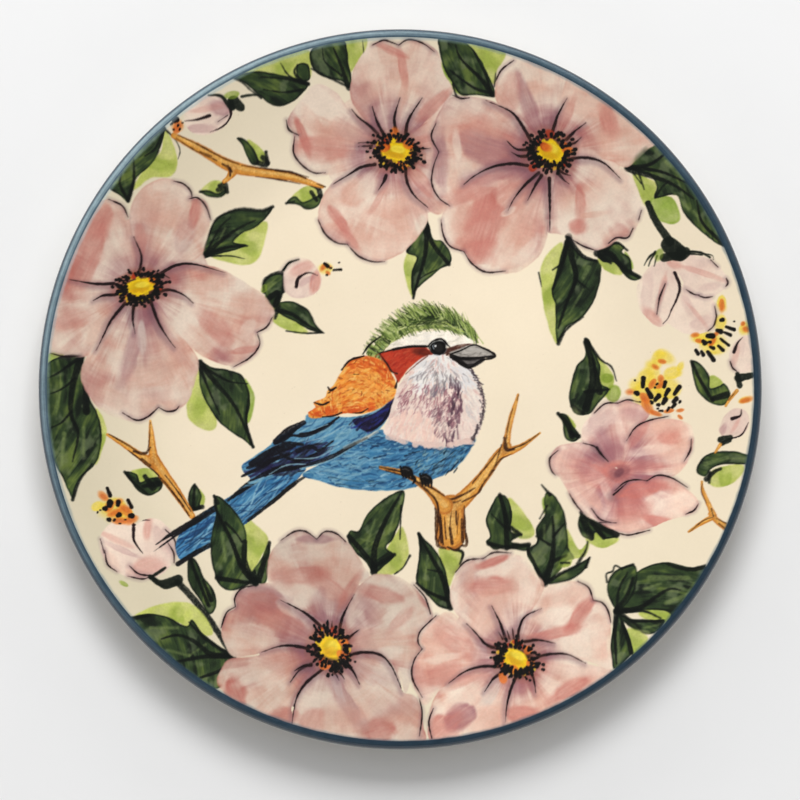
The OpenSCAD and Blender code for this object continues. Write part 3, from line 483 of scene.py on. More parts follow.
# Each leaf: its dark body and any extra one, a light wash beside it and a second one, buds as ovals
# (x, y, half sizes), lighter streaks in the body (points, width), and its dark lines (points, width
# at the start, width at the end). A leaf with front=True is laid after the bird.
LEAVES = [
    dict(body=[
             (-61, 112.5), (-52, 114.6), (-44, 113.5), (-37, 112), (-33, 110.3), (-35, 107), (-38, 104),
             (-43, 102), (-47, 103), (-51, 106), (-55, 109.4), (-58, 111.4)],
         wash=[(-60, 113), (-50, 118), (-40, 121.5), (-33, 122), (-32, 118), (-33, 112), (-44, 112)],
         lines=[
             ([(-33, 110), (-42, 112), (-50, 112.5)], 1.6, .5),
             ([(-34, 110), (-40, 113), (-43, 117.5)], 1.4, .3),
             ([(-35, 110.5), (-38, 114), (-37, 117)], 1.8, .6),
             ([(-61, 112.4), (-57, 110.6), (-53.6, 107.6), (-50, 105)], .5, .9),
             ([(-35, 108), (-42, 107), (-49, 108)], 1.2, .4)],
         extra=[[(-37, 117), (-33, 117), (-32.5, 112), (-35, 111), (-37, 113)]]),
    dict(body=[
             (-32.5, 121.5), (-27, 125.4), (-20, 125.6), (-18.6, 118), (-17.4, 112), (-18.6, 108.4),
             (-21, 111), (-26, 112), (-31, 115)],
         wash=[(-22, 126), (-12.5, 127), (-13, 121), (-17, 115), (-20, 114)],
         lines=[
             ([(-18.5, 108.5), (-21, 116), (-24, 123)], 2.2, .6),
             ([(-18.5, 109), (-25, 112), (-32, 115.5)], 1.2, .4),
             ([(-21, 113), (-27, 118), (-28, 123)], 1, .3), ([(-13, 121), (-13.5, 125.6)], .5, .3)]),
    dict(body=[
             (14, 127), (20, 127), (26, 123), (30, 117), (33, 110.5), (34, 105.6), (28, 106), (22, 106),
             (19, 110), (16, 115), (14.5, 121)],
         wash=[(24, 126), (31, 125), (38, 121.5), (35, 115), (34, 110), (28, 116)],
         second=[(15, 118), (16, 113), (20, 107), (24, 106), (20, 112)],
         lines=[
             ([(33.5, 106), (29, 112), (22, 119), (20, 124)], 2.2, .5),
             ([(33, 106), (31, 113), (27, 121)], 1.6, .5), ([(33, 106.5), (26, 109), (18, 115)], 1.6, .4),
             ([(19, 110), (20.5, 105.6), (24, 104.9)], 1, .5), ([(34, 109), (34.5, 114)], .5, .3)],
         lights=[([(26, 119), (27.5, 114)], 1.2)]),
    dict(body=[
             (-84.5, 95), (-88, 92), (-94, 87), (-100, 80), (-105, 73), (-101, 70), (-98, 67.4),
             (-96.4, 71), (-95, 76), (-90, 80.5), (-87, 85), (-85.5, 90)],
         wash=[
             (-85, 94), (-81, 86), (-80.4, 80), (-83, 76.8), (-90, 76), (-96, 72), (-92, 80), (-86, 86)],
         lines=[
             ([(-98, 68), (-96, 75), (-96, 83)], 2, .6), ([(-98, 68), (-101, 74), (-100, 79)], 1.6, .5),
             ([(-85, 94), (-88, 87), (-92, 84)], 1.6, .4),
             ([(-85, 94), (-81, 90), (-79.3, 86), (-80, 83)], .9, .2)],
         lights=[([(-99, 74), (-100, 79)], .8)]),
    dict(body=[
             (-59, 90.6), (-56, 90.2), (-53, 87), (-51.4, 84), (-51, 81), (-53.5, 81), (-55.5, 84.5),
             (-57, 88)], wash=[(-55, 90), (-50, 86.5), (-48, 82.5), (-51, 81), (-54, 84)],
         lines=[
             ([(-51, 81.5), (-48, 81), (-48.3, 85.5)], 2.4, 1.2),
             ([(-49.5, 83.5), (-47.6, 81.4)], 2.2, 2)]),
    dict(body=[(-72, 71.3), (-69, 71.6), (-66, 70.6), (-63, 72), (-62.3, 70.8), (-65, 69), (-69, 69.4)],
         wash=[(-71.5, 71.5), (-68, 75), (-64, 74.6), (-62, 71), (-66, 69.5)],
         lines=[
             ([(-65, 73.3), (-63, 74), (-62.3, 71)], 1.8, 1.6),
             ([(-65.5, 71.8), (-63.5, 72.4)], 2.2, 2.2), ([(-72, 71.2), (-69.5, 71.6)], 1.2, .4)]),
    dict(body=[
             (-41, 67), (-38, 69.6), (-35, 67.4), (-31, 69), (-28.3, 70), (-29.5, 66), (-33.5, 64.6),
             (-37, 66.6)], wash=[(-39, 69), (-35, 72.5), (-31, 73), (-30, 69), (-34, 66)],
         lines=[
             ([(-32, 74), (-29.5, 72.5), (-28.6, 69.5)], 2.2, 2.2), ([(-32, 71), (-30, 68)], 1.8, 1.4),
             ([(-41, 67), (-38, 67.8)], 1, .6)]),
    dict(body=[
             (-71, 47.6), (-69.4, 55), (-66.5, 61), (-61, 64.3), (-56, 64.8), (-50, 64.4), (-45.8, 65.6),
             (-48, 62), (-52, 58.5), (-57, 56), (-60, 53), (-55, 52), (-60, 50), (-66, 48.6)],
         wash=[(-68, 48), (-58, 45), (-52, 46), (-49, 52), (-48, 60), (-53, 59), (-60, 54)],
         lines=[
             ([(-71, 47.6), (-65, 53), (-59, 57.5), (-52, 61)], 2.2, .4),
             ([(-70.5, 48), (-65, 58), (-61, 62)], 1.4, .3),
             ([(-71, 47.8), (-63, 51), (-55, 51.6)], 1.8, .6),
             ([(-69, 55), (-66, 61.5), (-58, 65), (-50, 64.5), (-45.8, 65.8)], .5, 1.2),
             ([(-68, 48), (-61, 48), (-56, 47)], .8, .2)],
         lights=[([(-66, 52), (-63, 58)], 1.6), ([(-60, 58), (-58, 56)], 1)]),
    dict(body=[
             (-46, 30), (-43, 31.4), (-38, 31.4), (-33, 28.4), (-30, 23), (-27.5, 20.2), (-33, 21.4),
             (-38, 24.4), (-43, 27)], wash=[(-46, 25), (-40, 21), (-33, 20.2), (-37, 24.6), (-43, 28)],
         lines=[
             ([(-46, 29), (-39, 27), (-33, 23), (-27.4, 20.2)], 2.2, .5),
             ([(-44, 30), (-45, 25.6)], 2.6, 1.2), ([(-41, 21), (-34, 20.2), (-28, 20.4)], .5, .8)]),
    dict(body=[
             (-49, 34.6), (-49.3, 38.6), (-46.4, 41.2), (-42.4, 41.6), (-41.8, 38), (-42, 35), (-44, 30),
             (-46.8, 30)], wash=[(-48.6, 31), (-48, 35), (-45, 36), (-44, 31), (-46, 28.6)],
         lines=[
             ([(-49, 34.8), (-49, 39), (-45.5, 41.6), (-42, 41.4), (-42, 35.2)], 1.2, 1.4),
             ([(-47, 33), (-44, 34.6), (-45, 30)], 2.6, 2.4), ([(-49.6, 35.3), (-48.6, 35.4)], .6, .6)],
         lights=[([(-47, 37), (-45, 38.4)], 2.2)]),
    dict(body=[
             (-72.5, 10.2), (-68, 8), (-62, 7), (-57, 5), (-54.6, 0), (-54, -6), (-55.2, -12),
             (-53, -20.6), (-57, -18), (-64, -13), (-68, -8), (-71.5, -1), (-72.4, 5)],
         wash=[(-73, 7), (-76, -2), (-77, -8), (-75, -12), (-69, -15), (-66, -12), (-69, -4), (-70, 4)],
         second=[(-56, 4), (-52.6, -2), (-53, -8), (-55, -12), (-56, -4)],
         lines=[
             ([(-72, 9.6), (-67, 3), (-61, -4), (-57, -11), (-53.6, -20)], 2.6, .6),
             ([(-71, 8), (-62, 3), (-55, 2)], 1.6, .4), ([(-72, 8), (-69, 0), (-65, -9)], 1.4, .4),
             ([(-54.6, -3), (-55.4, -12), (-53, -20.8)], .5, 1.4)],
         lights=[([(-66, 2), (-62, -4)], 1.4), ([(-60, 3), (-57, -1)], 1.2)]),
    dict(body=[
             (-128, 8), (-122, 12), (-114.6, 12), (-114.2, 5), (-112, -3), (-109, -9), (-107.6, -15),
             (-108, -22), (-110, -27), (-115, -32), (-117, -36), (-118, -39.6), (-121, -33), (-125, -25),
             (-127, -13), (-129, -2)],
         wash=[(-109.6, -7), (-106, -14), (-107.4, -22), (-110, -27), (-111, -16)],
         second=[(-128, 12), (-121, 12.4), (-123, 6), (-128, 2)],
         lines=[
             ([(-115, 11.6), (-118, 1), (-118.6, -9), (-116, -16), (-118, -26)], 3.4, .5),
             ([(-115, 11.6), (-113.6, 4), (-113, -8)], 1.6, 3),
             ([(-116, 11), (-123, 6), (-127, 4)], 1.8, .4),
             ([(-118.4, -8), (-122, -12), (-126, -14)], 1.2, .4),
             ([(-111, -27), (-115.6, -33), (-118, -39.8)], .6, 1.6),
             ([(-117, 4), (-122, 0), (-127, -2)], 1.2, .3)],
         lights=[
             ([(-122, 2), (-124, -8)], 2.4), ([(-121, -16), (-122, -27)], 3),
             ([(-114, -14), (-114, -24)], 2.2)]),
    dict(front=True,
         body=[
             (-66.5, -38.4), (-61, -42), (-56.4, -49), (-55, -56), (-55.6, -64), (-53, -69), (-60, -72.4),
             (-65, -70.6), (-68, -62), (-68, -53), (-66.4, -45)],
         wash=[(-58, -46), (-50.5, -50), (-47.6, -54), (-50, -60), (-54, -66), (-57, -60)],
         lines=[
             ([(-52, -70), (-57, -64), (-61, -54), (-66, -44), (-67, -38.4)], 2.8, .8),
             ([(-53, -69), (-56, -62), (-56, -55)], 2.6, 2),
             ([(-63, -48), (-59, -52), (-57, -55)], 1.2, .6), ([(-67, -38.4), (-65.6, -41)], 1, 1.6),
             ([(-52, -70), (-60, -69), (-66, -68)], 1.6, 2)],
         lights=[([(-64, -52), (-63, -62)], 2.6), ([(-60, -58), (-60, -66)], 1.6)]),
    dict(body=[
             (-47.4, -55), (-49.5, -60), (-52, -63.6), (-54, -63), (-54, -67), (-50, -70.4), (-48, -69),
             (-47.6, -64), (-46.8, -59)],
         lines=[([(-47.2, -55.4), (-49, -62), (-51, -69)], 2, 2.6), ([(-53.6, -62), (-52, -69)], 1.4, 2)]),
    dict(body=[
             (-76, -60.4), (-73, -62.4), (-71, -67), (-69, -70), (-66.4, -74), (-66.6, -79), (-69, -81),
             (-72, -76), (-76, -70), (-76.6, -65)],
         lines=[
             ([(-80, -69.6), (-75, -75), (-70.5, -80.6), (-66, -87), (-61, -95)], 3, 2.4),
             ([(-75.6, -61), (-73, -68), (-69, -78)], 1.2, 1.6), ([(-71, -69), (-68, -76)], 1, 2)],
         lights=[([(-69, -71), (-67.6, -77)], 1.4)]),
    dict(body=[
             (-98, -83), (-91, -81), (-84, -82), (-77, -85.4), (-75, -83), (-71, -88), (-65, -92.6),
             (-60, -96), (-62, -101), (-66, -108), (-78, -103), (-88, -96), (-95, -88)],
         wash=[
             (-96, -82), (-88, -78), (-78, -76.8), (-72, -80), (-67.4, -88), (-74, -88), (-80, -84),
             (-90, -82)], second=[(-94, -87), (-89, -88), (-88, -93), (-91, -93)],
         lines=[
             ([(-60, -96), (-68, -95.6), (-74, -91), (-80, -88.6), (-86, -90)], 3, .6),
             ([(-60, -96), (-72, -96.6), (-84, -99)], 2.4, 1),
             ([(-61, -96), (-70, -90), (-76, -84)], 2, .6), ([(-98, -83), (-90, -81.4)], 2.2, 1),
             ([(-60, -96.6), (-64, -101), (-72, -104)], 2.4, 1)],
         lights=[
             ([(-80, -86), (-90, -86)], 2.2), ([(-70, -92), (-76, -96)], 1.6),
             ([(-76, -96), (-84, -94)], 2)]),
    dict(body=[
             (-99.4, -29.8), (-95, -30.6), (-93.6, -33.6), (-90, -32), (-86, -32), (-86, -36),
             (-90, -38.2), (-94, -37), (-97, -33.4)],
         wash=[(-97, -30), (-92, -28.6), (-88, -30), (-88, -34), (-92, -34)],
         lines=[
             ([(-99.2, -29.8), (-95.6, -34), (-91, -37.8)], 1.2, .8),
             ([(-92, -31.4), (-89, -35.4)], 2, 2.8), ([(-92.5, -35), (-87, -34)], 1.6, 2.6)],
         lights=[([(-87.4, -36.4), (-86.4, -34.6)], 1)]),
    dict(body=[
             (-74, -34), (-71.6, -38), (-72, -41.4), (-71.4, -43.2), (-75, -43.8), (-76.4, -40),
             (-76, -36.6)], wash=[(-72.6, -36), (-70.4, -39), (-71, -42), (-73, -40)],
         lines=[([(-74, -34.4), (-74.6, -43)], 1, 1.6), ([(-75, -43.4), (-71.2, -42.4)], 1.6, 1.8)]),
    dict(body=[
             (7, 63.4), (10, 60.4), (12, 54.4), (15, 53.4), (18, 49.6), (18.2, 45.4), (14, 43), (9, 38.6),
             (6, 36), (4.6, 32.6), (4, 38), (4.4, 43), (6, 47.6), (2.2, 49.4), (4.4, 55)],
         wash=[(5, 53), (1.4, 46), (2, 40), (4.6, 33), (6, 40), (7, 47)],
         lines=[
             ([(7.4, 63), (9.4, 56), (9, 48), (6.4, 39), (4.8, 32.8)], 2.6, .8),
             ([(9, 61), (11.4, 53), (17.6, 45)], 2.2, 1.6), ([(5.4, 36.4), (7.4, 40), (13, 43)], .5, .5),
             ([(7, 62), (5.6, 56), (2.6, 49.6)], 1.4, .7)],
         lights=[
             ([(6.6, 55), (5.4, 51)], 1.4), ([(13, 50), (15.4, 47)], 1.4),
             ([(8, 45), (9.4, 41.6)], 1.2)]),
    dict(body=[
             (60.6, 55.6), (63, 50.6), (66.6, 47.4), (72, 46), (72.4, 41), (70.4, 33), (66, 26),
             (60, 22.4), (57, 16.6), (56, 22), (56, 30), (54.6, 35), (56.8, 44), (58.4, 50)],
         wash=[(58.4, 53), (52, 47), (50.6, 39), (52.4, 27), (55, 19), (57, 17), (56.6, 30), (58, 44)],
         lines=[
             ([(60.8, 55), (62, 47), (63.4, 40), (60, 31), (57, 22)], 3, .8),
             ([(61, 54), (66, 48), (72, 46)], 2.2, .9), ([(60, 53), (58.6, 46), (55, 43)], 2, .6),
             ([(66, 26), (60, 21.6), (57, 16.4)], .5, 1.6), ([(60.6, 54), (59, 46), (55, 36)], 1.6, 1),
             ([(50, 42), (51, 37)], .7, .4), ([(62.8, 40), (68, 36)], 1, .3)],
         lights=[([(68, 44), (66, 40)], 3.4), ([(61.4, 46), (62, 42)], 1.2), ([(66, 36), (61, 27)], 1.4)]),
    dict(body=[
             (71, 49.4), (73.6, 51), (77, 53), (81, 51.4), (80, 49.4), (83, 47), (84, 42), (86.8, 40.3),
             (84, 39.2), (80.4, 41.4), (77.4, 45.6), (73, 46)],
         wash=[(71.4, 47), (74, 43), (80, 41), (79, 45), (75, 47)],
         second=[(81, 49.6), (83.6, 46), (84, 43), (82, 45)],
         lines=[
             ([(71, 49), (76, 48.6), (80, 44), (86.6, 40.2)], 3, 1.4),
             ([(74, 50), (78, 52.8), (82, 50)], 1.4, .8), ([(72, 48), (76, 45.4)], 2.2, 1)]),
    dict(body=[
             (82, 80), (84, 84), (88, 87.4), (94, 89), (99, 84), (106, 75), (113, 64), (119, 52),
             (117.6, 51), (112, 54), (106, 59), (102, 64), (99.6, 70), (92, 69), (92.6, 73), (90, 77),
             (85, 78.4)], wash=[(84, 77.6), (88, 76.6), (92.4, 74), (91, 69), (88.6, 66), (86, 71)],
         second=[(91, 69), (98, 69), (101, 62), (98.4, 59.6), (93, 61), (90, 65)],
         lines=[
             ([(82, 79.6), (90, 77), (98, 74), (106, 68.6)], 3, .5),
             ([(82, 80), (90, 81), (97, 86)], 2, .8), ([(82, 80), (94, 78.4), (104, 74)], 2, .6),
             ([(92, 69), (94.6, 73), (97, 75)], 1, .5), ([(107, 68), (109, 60), (117, 52)], .6, 2),
             ([(86, 78), (88, 72)], 1, .3), ([(84, 78), (87, 74)], .9, .3)],
         lights=[
             ([(96, 82), (102, 76)], 2.8), ([(99, 70), (104, 65)], 2.8), ([(106, 64), (111, 57)], 2.6),
             ([(110, 64), (113, 58)], 1.6)]),
    dict(body=[
             (66.4, 17.4), (68, 18), (70, 13.4), (72.2, 8.6), (72, 2.4), (75.6, 0), (71.4, -5), (68, -9),
             (63, -8.8), (61, -4), (61.4, 1), (63.4, 8), (66.6, 12)],
         wash=[(70.6, 12), (74.8, 8), (77.2, 3), (74, -3), (71.4, 2)],
         lines=[
             ([(67, 17), (69, 10), (69.4, 2), (67, -7)], 2.4, 3.4), ([(69.6, 11), (72, -1)], 1.2, 2.8),
             ([(62, -6), (66, -8.6)], 1.6, 1.6), ([(67, 18), (72, 11), (76.2, 8), (78, 3)], 1.6, .3),
             ([(67, -1), (75.4, 0)], 2, .8)],
         lights=[([(64, 3), (62.6, -3)], 2), ([(66, 0), (68, -1)], 1.4)],
         buds=[(77, -1.4, 3, 2.6), (74.8, 4, 1.7, 2)]),
    dict(body=[(57, -9), (60, -9), (62.4, -13), (65, -16.8), (62.6, -19), (59.4, -17.4), (58.4, -12)],
         wash=[(60, -9), (63.4, -13), (62, -15), (60, -12)],
         lines=[([(57, -8.8), (60, -12), (62, -17)], 1.6, 2.6), ([(61.6, -15.6), (64.4, -17)], 2, 2)]),
    dict(body=[
             (105, 10), (108, 9.4), (111.4, 5), (111.6, .4), (115, 1), (117, 2), (119, -2), (116.6, -5.6),
             (112, -5), (107.4, -1), (105.8, 4)], wash=[(110, 3), (113, 5), (116.4, 2), (114, -.6)],
         lines=[([(105, 10), (108.4, 3), (112.6, -4)], 1.4, 1.6), ([(113, -3.4), (117.8, -2)], 2.4, 3)],
         lights=[([(108, 5), (109.4, 1)], 1.8)]),
    dict(body=[
             (128, -25), (124, -23.2), (120, -22.2), (112, -23), (108, -26), (107, -30), (110, -31.6),
             (112, -29), (115, -27.4), (120, -27), (126, -27)],
         wash=[(113, -29), (122, -27), (124, -29), (120, -33.6), (114, -35.4), (111, -33)],
         lines=[
             ([(110.4, -32.4), (113, -30), (115.6, -28.6)], 2.2, 1.2),
             ([(111.4, -33.6), (111.6, -30)], 1.2, 1.6)],
         lights=[([(110, -27), (118, -24.6)], 3.2), ([(118, -25), (125, -25)], 1.8)]),
    dict(body=[
             (65.6, -44.4), (71, -47), (78, -51), (79, -53), (74, -54), (70.4, -51.6), (69.6, -54),
             (66, -53), (64, -49)], wash=[(67, -54), (73, -57.4), (79, -54), (73, -51)],
         lines=[
             ([(65.8, -44.6), (71, -48.6), (78, -52.6)], 3, 2.4), ([(66, -47), (69, -53.6)], 3.4, 2.4),
             ([(69, -48), (73.4, -53.4)], 2, 2)]),
    dict(body=[
             (35.6, -38), (38.6, -39), (40.4, -45), (40, -51), (43.6, -52.6), (40, -55), (46.6, -56),
             (45.6, -58.2), (41, -57.8), (38, -57), (34, -57.8), (31, -55), (32.4, -53), (31, -47),
             (33, -42)], wash=[(39, -39), (45, -45), (48.4, -52), (44, -54), (40, -50)],
         lines=[
             ([(36, -38), (38, -46), (38.6, -57)], 1.6, 2.6),
             ([(32, -55.6), (38, -57), (46.4, -56)], 2, 2), ([(40, -50), (43.6, -52.4)], 2, 1.4),
             ([(38, -50), (33, -45)], 1.4, .4)],
         lights=[([(33.6, -48), (35.6, -43)], 2), ([(42, -53.6), (47, -53)], 1.2)]),
    dict(body=[
             (53, -37), (56.4, -39), (59.4, -45), (60.4, -52), (60.8, -57), (63, -61), (60, -62),
             (57, -66), (52, -70.2), (47, -62), (45.8, -58), (49.2, -55), (49, -50), (52, -45),
             (52, -40)], wash=[(60, -50), (64.4, -58), (68, -55), (66.6, -60), (62, -61), (59, -58)],
         second=[(52, -45), (51.4, -39.6), (54, -39), (54, -44)],
         lines=[
             ([(52, -70), (54.6, -62), (55.4, -54), (55, -46)], 3.4, .8),
             ([(55, -62), (60, -60)], 1.8, 1.2), ([(54, -56), (49, -53)], 1.4, .5),
             ([(52, -70), (49, -64), (46, -58)], 1.8, 1.2), ([(51, -34.4), (54, -38)], .6, 1.6),
             ([(55.4, -53), (59.6, -48)], 1.2, .4), ([(50.4, -46.6), (53, -42)], .5, .8)],
         lights=[([(52, -55), (52, -49)], 1.8), ([(57, -56), (58, -50)], 1.4)]),
    dict(body=[(68.4, -60.6), (66.6, -65), (61, -69), (53, -70.4), (57, -67), (62, -64), (66, -62)],
         lines=[
             ([(52, -70), (58, -66.4), (64, -63.6)], 2, .9), ([(68.4, -60.6), (67, -64)], .7, 1.4),
             ([(64, -63), (67, -58), (67.6, -55)], 1.6, .7)], wash=[(58, -64), (62, -61), (61, -63.6)]),
    dict(body=[
             (1, -36.4), (1, -42), (-.6, -49), (-2.4, -54), (-5, -57), (-2, -60), (-6, -64),
             (-9.6, -66.2), (-12, -62.6), (-16, -59), (-19, -54.4), (-18, -50.8), (-15, -51),
             (-12, -45.6), (-7, -40.4)],
         wash=[(0, -50), (2.6, -54), (3, -60), (.6, -65), (-4, -67), (-9, -66.4), (-6, -60)],
         lines=[
             ([(-9.4, -66), (-9, -57), (-5, -47), (.6, -37)], 3.2, .8),
             ([(-9, -64), (-14, -58), (-18.4, -53)], 2.2, 2),
             ([(-9, -63.6), (-4, -61), (-2, -59.6)], 1.8, 1.6),
             ([(3.6, -60), (1, -64.4), (-2, -66.6)], .9, .5), ([(.4, -42), (0, -54)], .9, .5)],
         lights=[
             ([(-12, -56), (-9, -47)], 2), ([(-4, -52), (-1.6, -43)], 1.8),
             ([(-14, -54), (-10.4, -55)], 1.2)]),
    dict(body=[
             (6.4, -51.6), (9, -54), (13, -58.4), (16, -64), (17.4, -70), (18.4, -78.6), (14, -78.4),
             (11, -75.4), (6, -70), (6.2, -64), (7, -58)],
         wash=[(14, -57.4), (18, -57.6), (22.6, -58.4), (22, -63), (20, -66), (17.4, -71), (15, -63)],
         lines=[
             ([(18.2, -78.6), (15.4, -68), (11, -60), (6.6, -52)], 3, .8),
             ([(17, -76), (10, -73), (6, -70)], 2, 1), ([(19, -57.4), (22.6, -59), (21.6, -63)], 1.8, .8),
             ([(15, -66), (10, -65)], 1.2, .4), ([(7, -52), (7.6, -58)], .8, .4)],
         lights=[([(9, -68), (10, -60)], 2.2), ([(12, -74), (12.4, -68)], 1.2)]),
    dict(body=[
             (78, -80), (82, -74), (84.6, -66.6), (90, -63.6), (96, -62.4), (104, -64), (110, -63.6),
             (113, -64), (110, -71), (104, -79), (100, -83), (96, -80), (88, -79.6)],
         wash=[(86, -81), (92, -84), (98, -84), (104, -79), (98, -79), (90, -79)],
         lines=[
             ([(78, -80), (86, -79), (92, -75), (97, -72), (101, -72.4)], 3, .6),
             ([(78, -80), (84, -73), (84, -68)], 2, .8), ([(96, -63), (104, -65), (110, -64)], .8, 2),
             ([(80, -80), (88, -80), (94, -82.6)], 2, .6)],
         lights=[
             ([(90, -68), (104, -68)], 4), ([(96, -77), (106, -73)], 3), ([(88, -72), (94, -70)], 2),
             ([(106, -70), (102, -77)], 2.4)]),
    dict(body=[
             (78, -79.4), (75, -74.6), (74.8, -70), (77.4, -65.6), (82, -63.6), (85, -64), (85, -71),
             (81, -78)],
         lines=[
             ([(74.6, -69.6), (74.4, -66.6), (76.6, -65.6), (77.6, -63.6), (80, -64.8)], .7, .7),
             ([(78, -79.6), (82, -74), (84, -68)], 2, 1.2), ([(78, -79), (79, -72), (82, -66)], 1.4, .6),
             ([(80, -64.6), (84, -63.2)], .9, 1.2)], lights=[([(81, -73), (83, -69)], 2)]),
    dict(body=[(78, -80.6), (84, -83), (90, -83.2), (95.6, -83.2), (92, -87.6), (86.6, -88), (81, -84)],
         lines=[([(78, -80), (84, -84), (87.4, -87.4)], 2, .6), ([(84, -83.4), (94, -83.6)], 1.4, 1)],
         lights=[([(88, -86), (93, -85)], 1.6)]),
    dict(body=[
             (78.4, -81), (76.6, -87), (75.8, -94), (77.4, -101), (82, -97), (84, -94), (82.4, -88),
             (80.6, -84)], wash=[(82, -86), (89, -89), (88, -94), (84, -96.6), (82, -91)],
         lines=[
             ([(78, -80), (77.4, -88), (78, -99)], 2.2, .5),
             ([(80, -84), (82, -90), (83.4, -95)], 1.2, 2)], lights=[([(78.4, -88), (79, -97)], 2.6)]),]

# Stems and the cups under the buds: (points, width at the start, width at the end)
STEMS = [
    ([(89.4, 67), (92, 61), (97.4, 53)], 2.2, 3), ([(97, 52), (100, 49.4)], 6, 6.4),
    ([(101, 50), (103, 49.4), (101, 48)], 3, 4), ([(95, 47.4), (101.6, 48.6)], 3, 3),
    ([(58, -62.6), (61, -62.6)], 0.8, .8), ([(121.6, 5.4), (122.4, 1.4)], 1.6, 2.2),
    ([(122, 4), (127, 5)], 3, 2), ([(115.6, -18.2), (119, -17.4)], 2.4, 2),
    ([(116.2, -19.6), (118.8, -18.4)], 1.6, 1.6), ([(-90, -67.6), (-86, -70), (-80, -68.6)], 1.6, 3.6),
    ([(-89, -68), (-85, -71.4), (-80, -70)], 1, 1.4), ([(-90, -68), (-84.6, -64.4)], 1.2, 1),
    ([(-61, 104.4), (-60.4, 101.4)], 1.6, 2), ([(-60, 103.6), (-57.4, 101.6)], 4.6, 3),
    ([(-57, 105.5), (-53.6, 106), (-50, 105.9)], 1.0, .6),
    ([(-69, 106), (-64.4, 105.6), (-61.6, 102)], .6, 1.6),
    ([(-42, 43), (-40, 45.6), (-36.4, 46.8)], 1, .5),
    ([(103.6, 49.6), (108, 49.4), (111.6, 47.6)], .8, .8), ([(103, 49), (109, 48.4)], .8, .5),
    ([(104, 49.8), (112, 48.4), (113, 46.8)], .4, .2), ([(92, 49.4), (89.6, 47.4), (88, 44.6)], 1, .3),
    ([(92, 49), (90.4, 46.6), (89.6, 44.4)], .8, .3), ([(92.6, 48), (91.6, 44.4)], .7, .3),]
# Light green presses on the sepals: x, y, length, width, angle
GREEN_LIGHTS = [
    (93.4, 48.4, 4.6, 2.8, 70), (-60.6, 106.0, 5.4, 2.8, 8), (-99.4, -70.2, 3.6, 1.6, -30),
    (-49, 36.4, 3.4, 2, 70)]

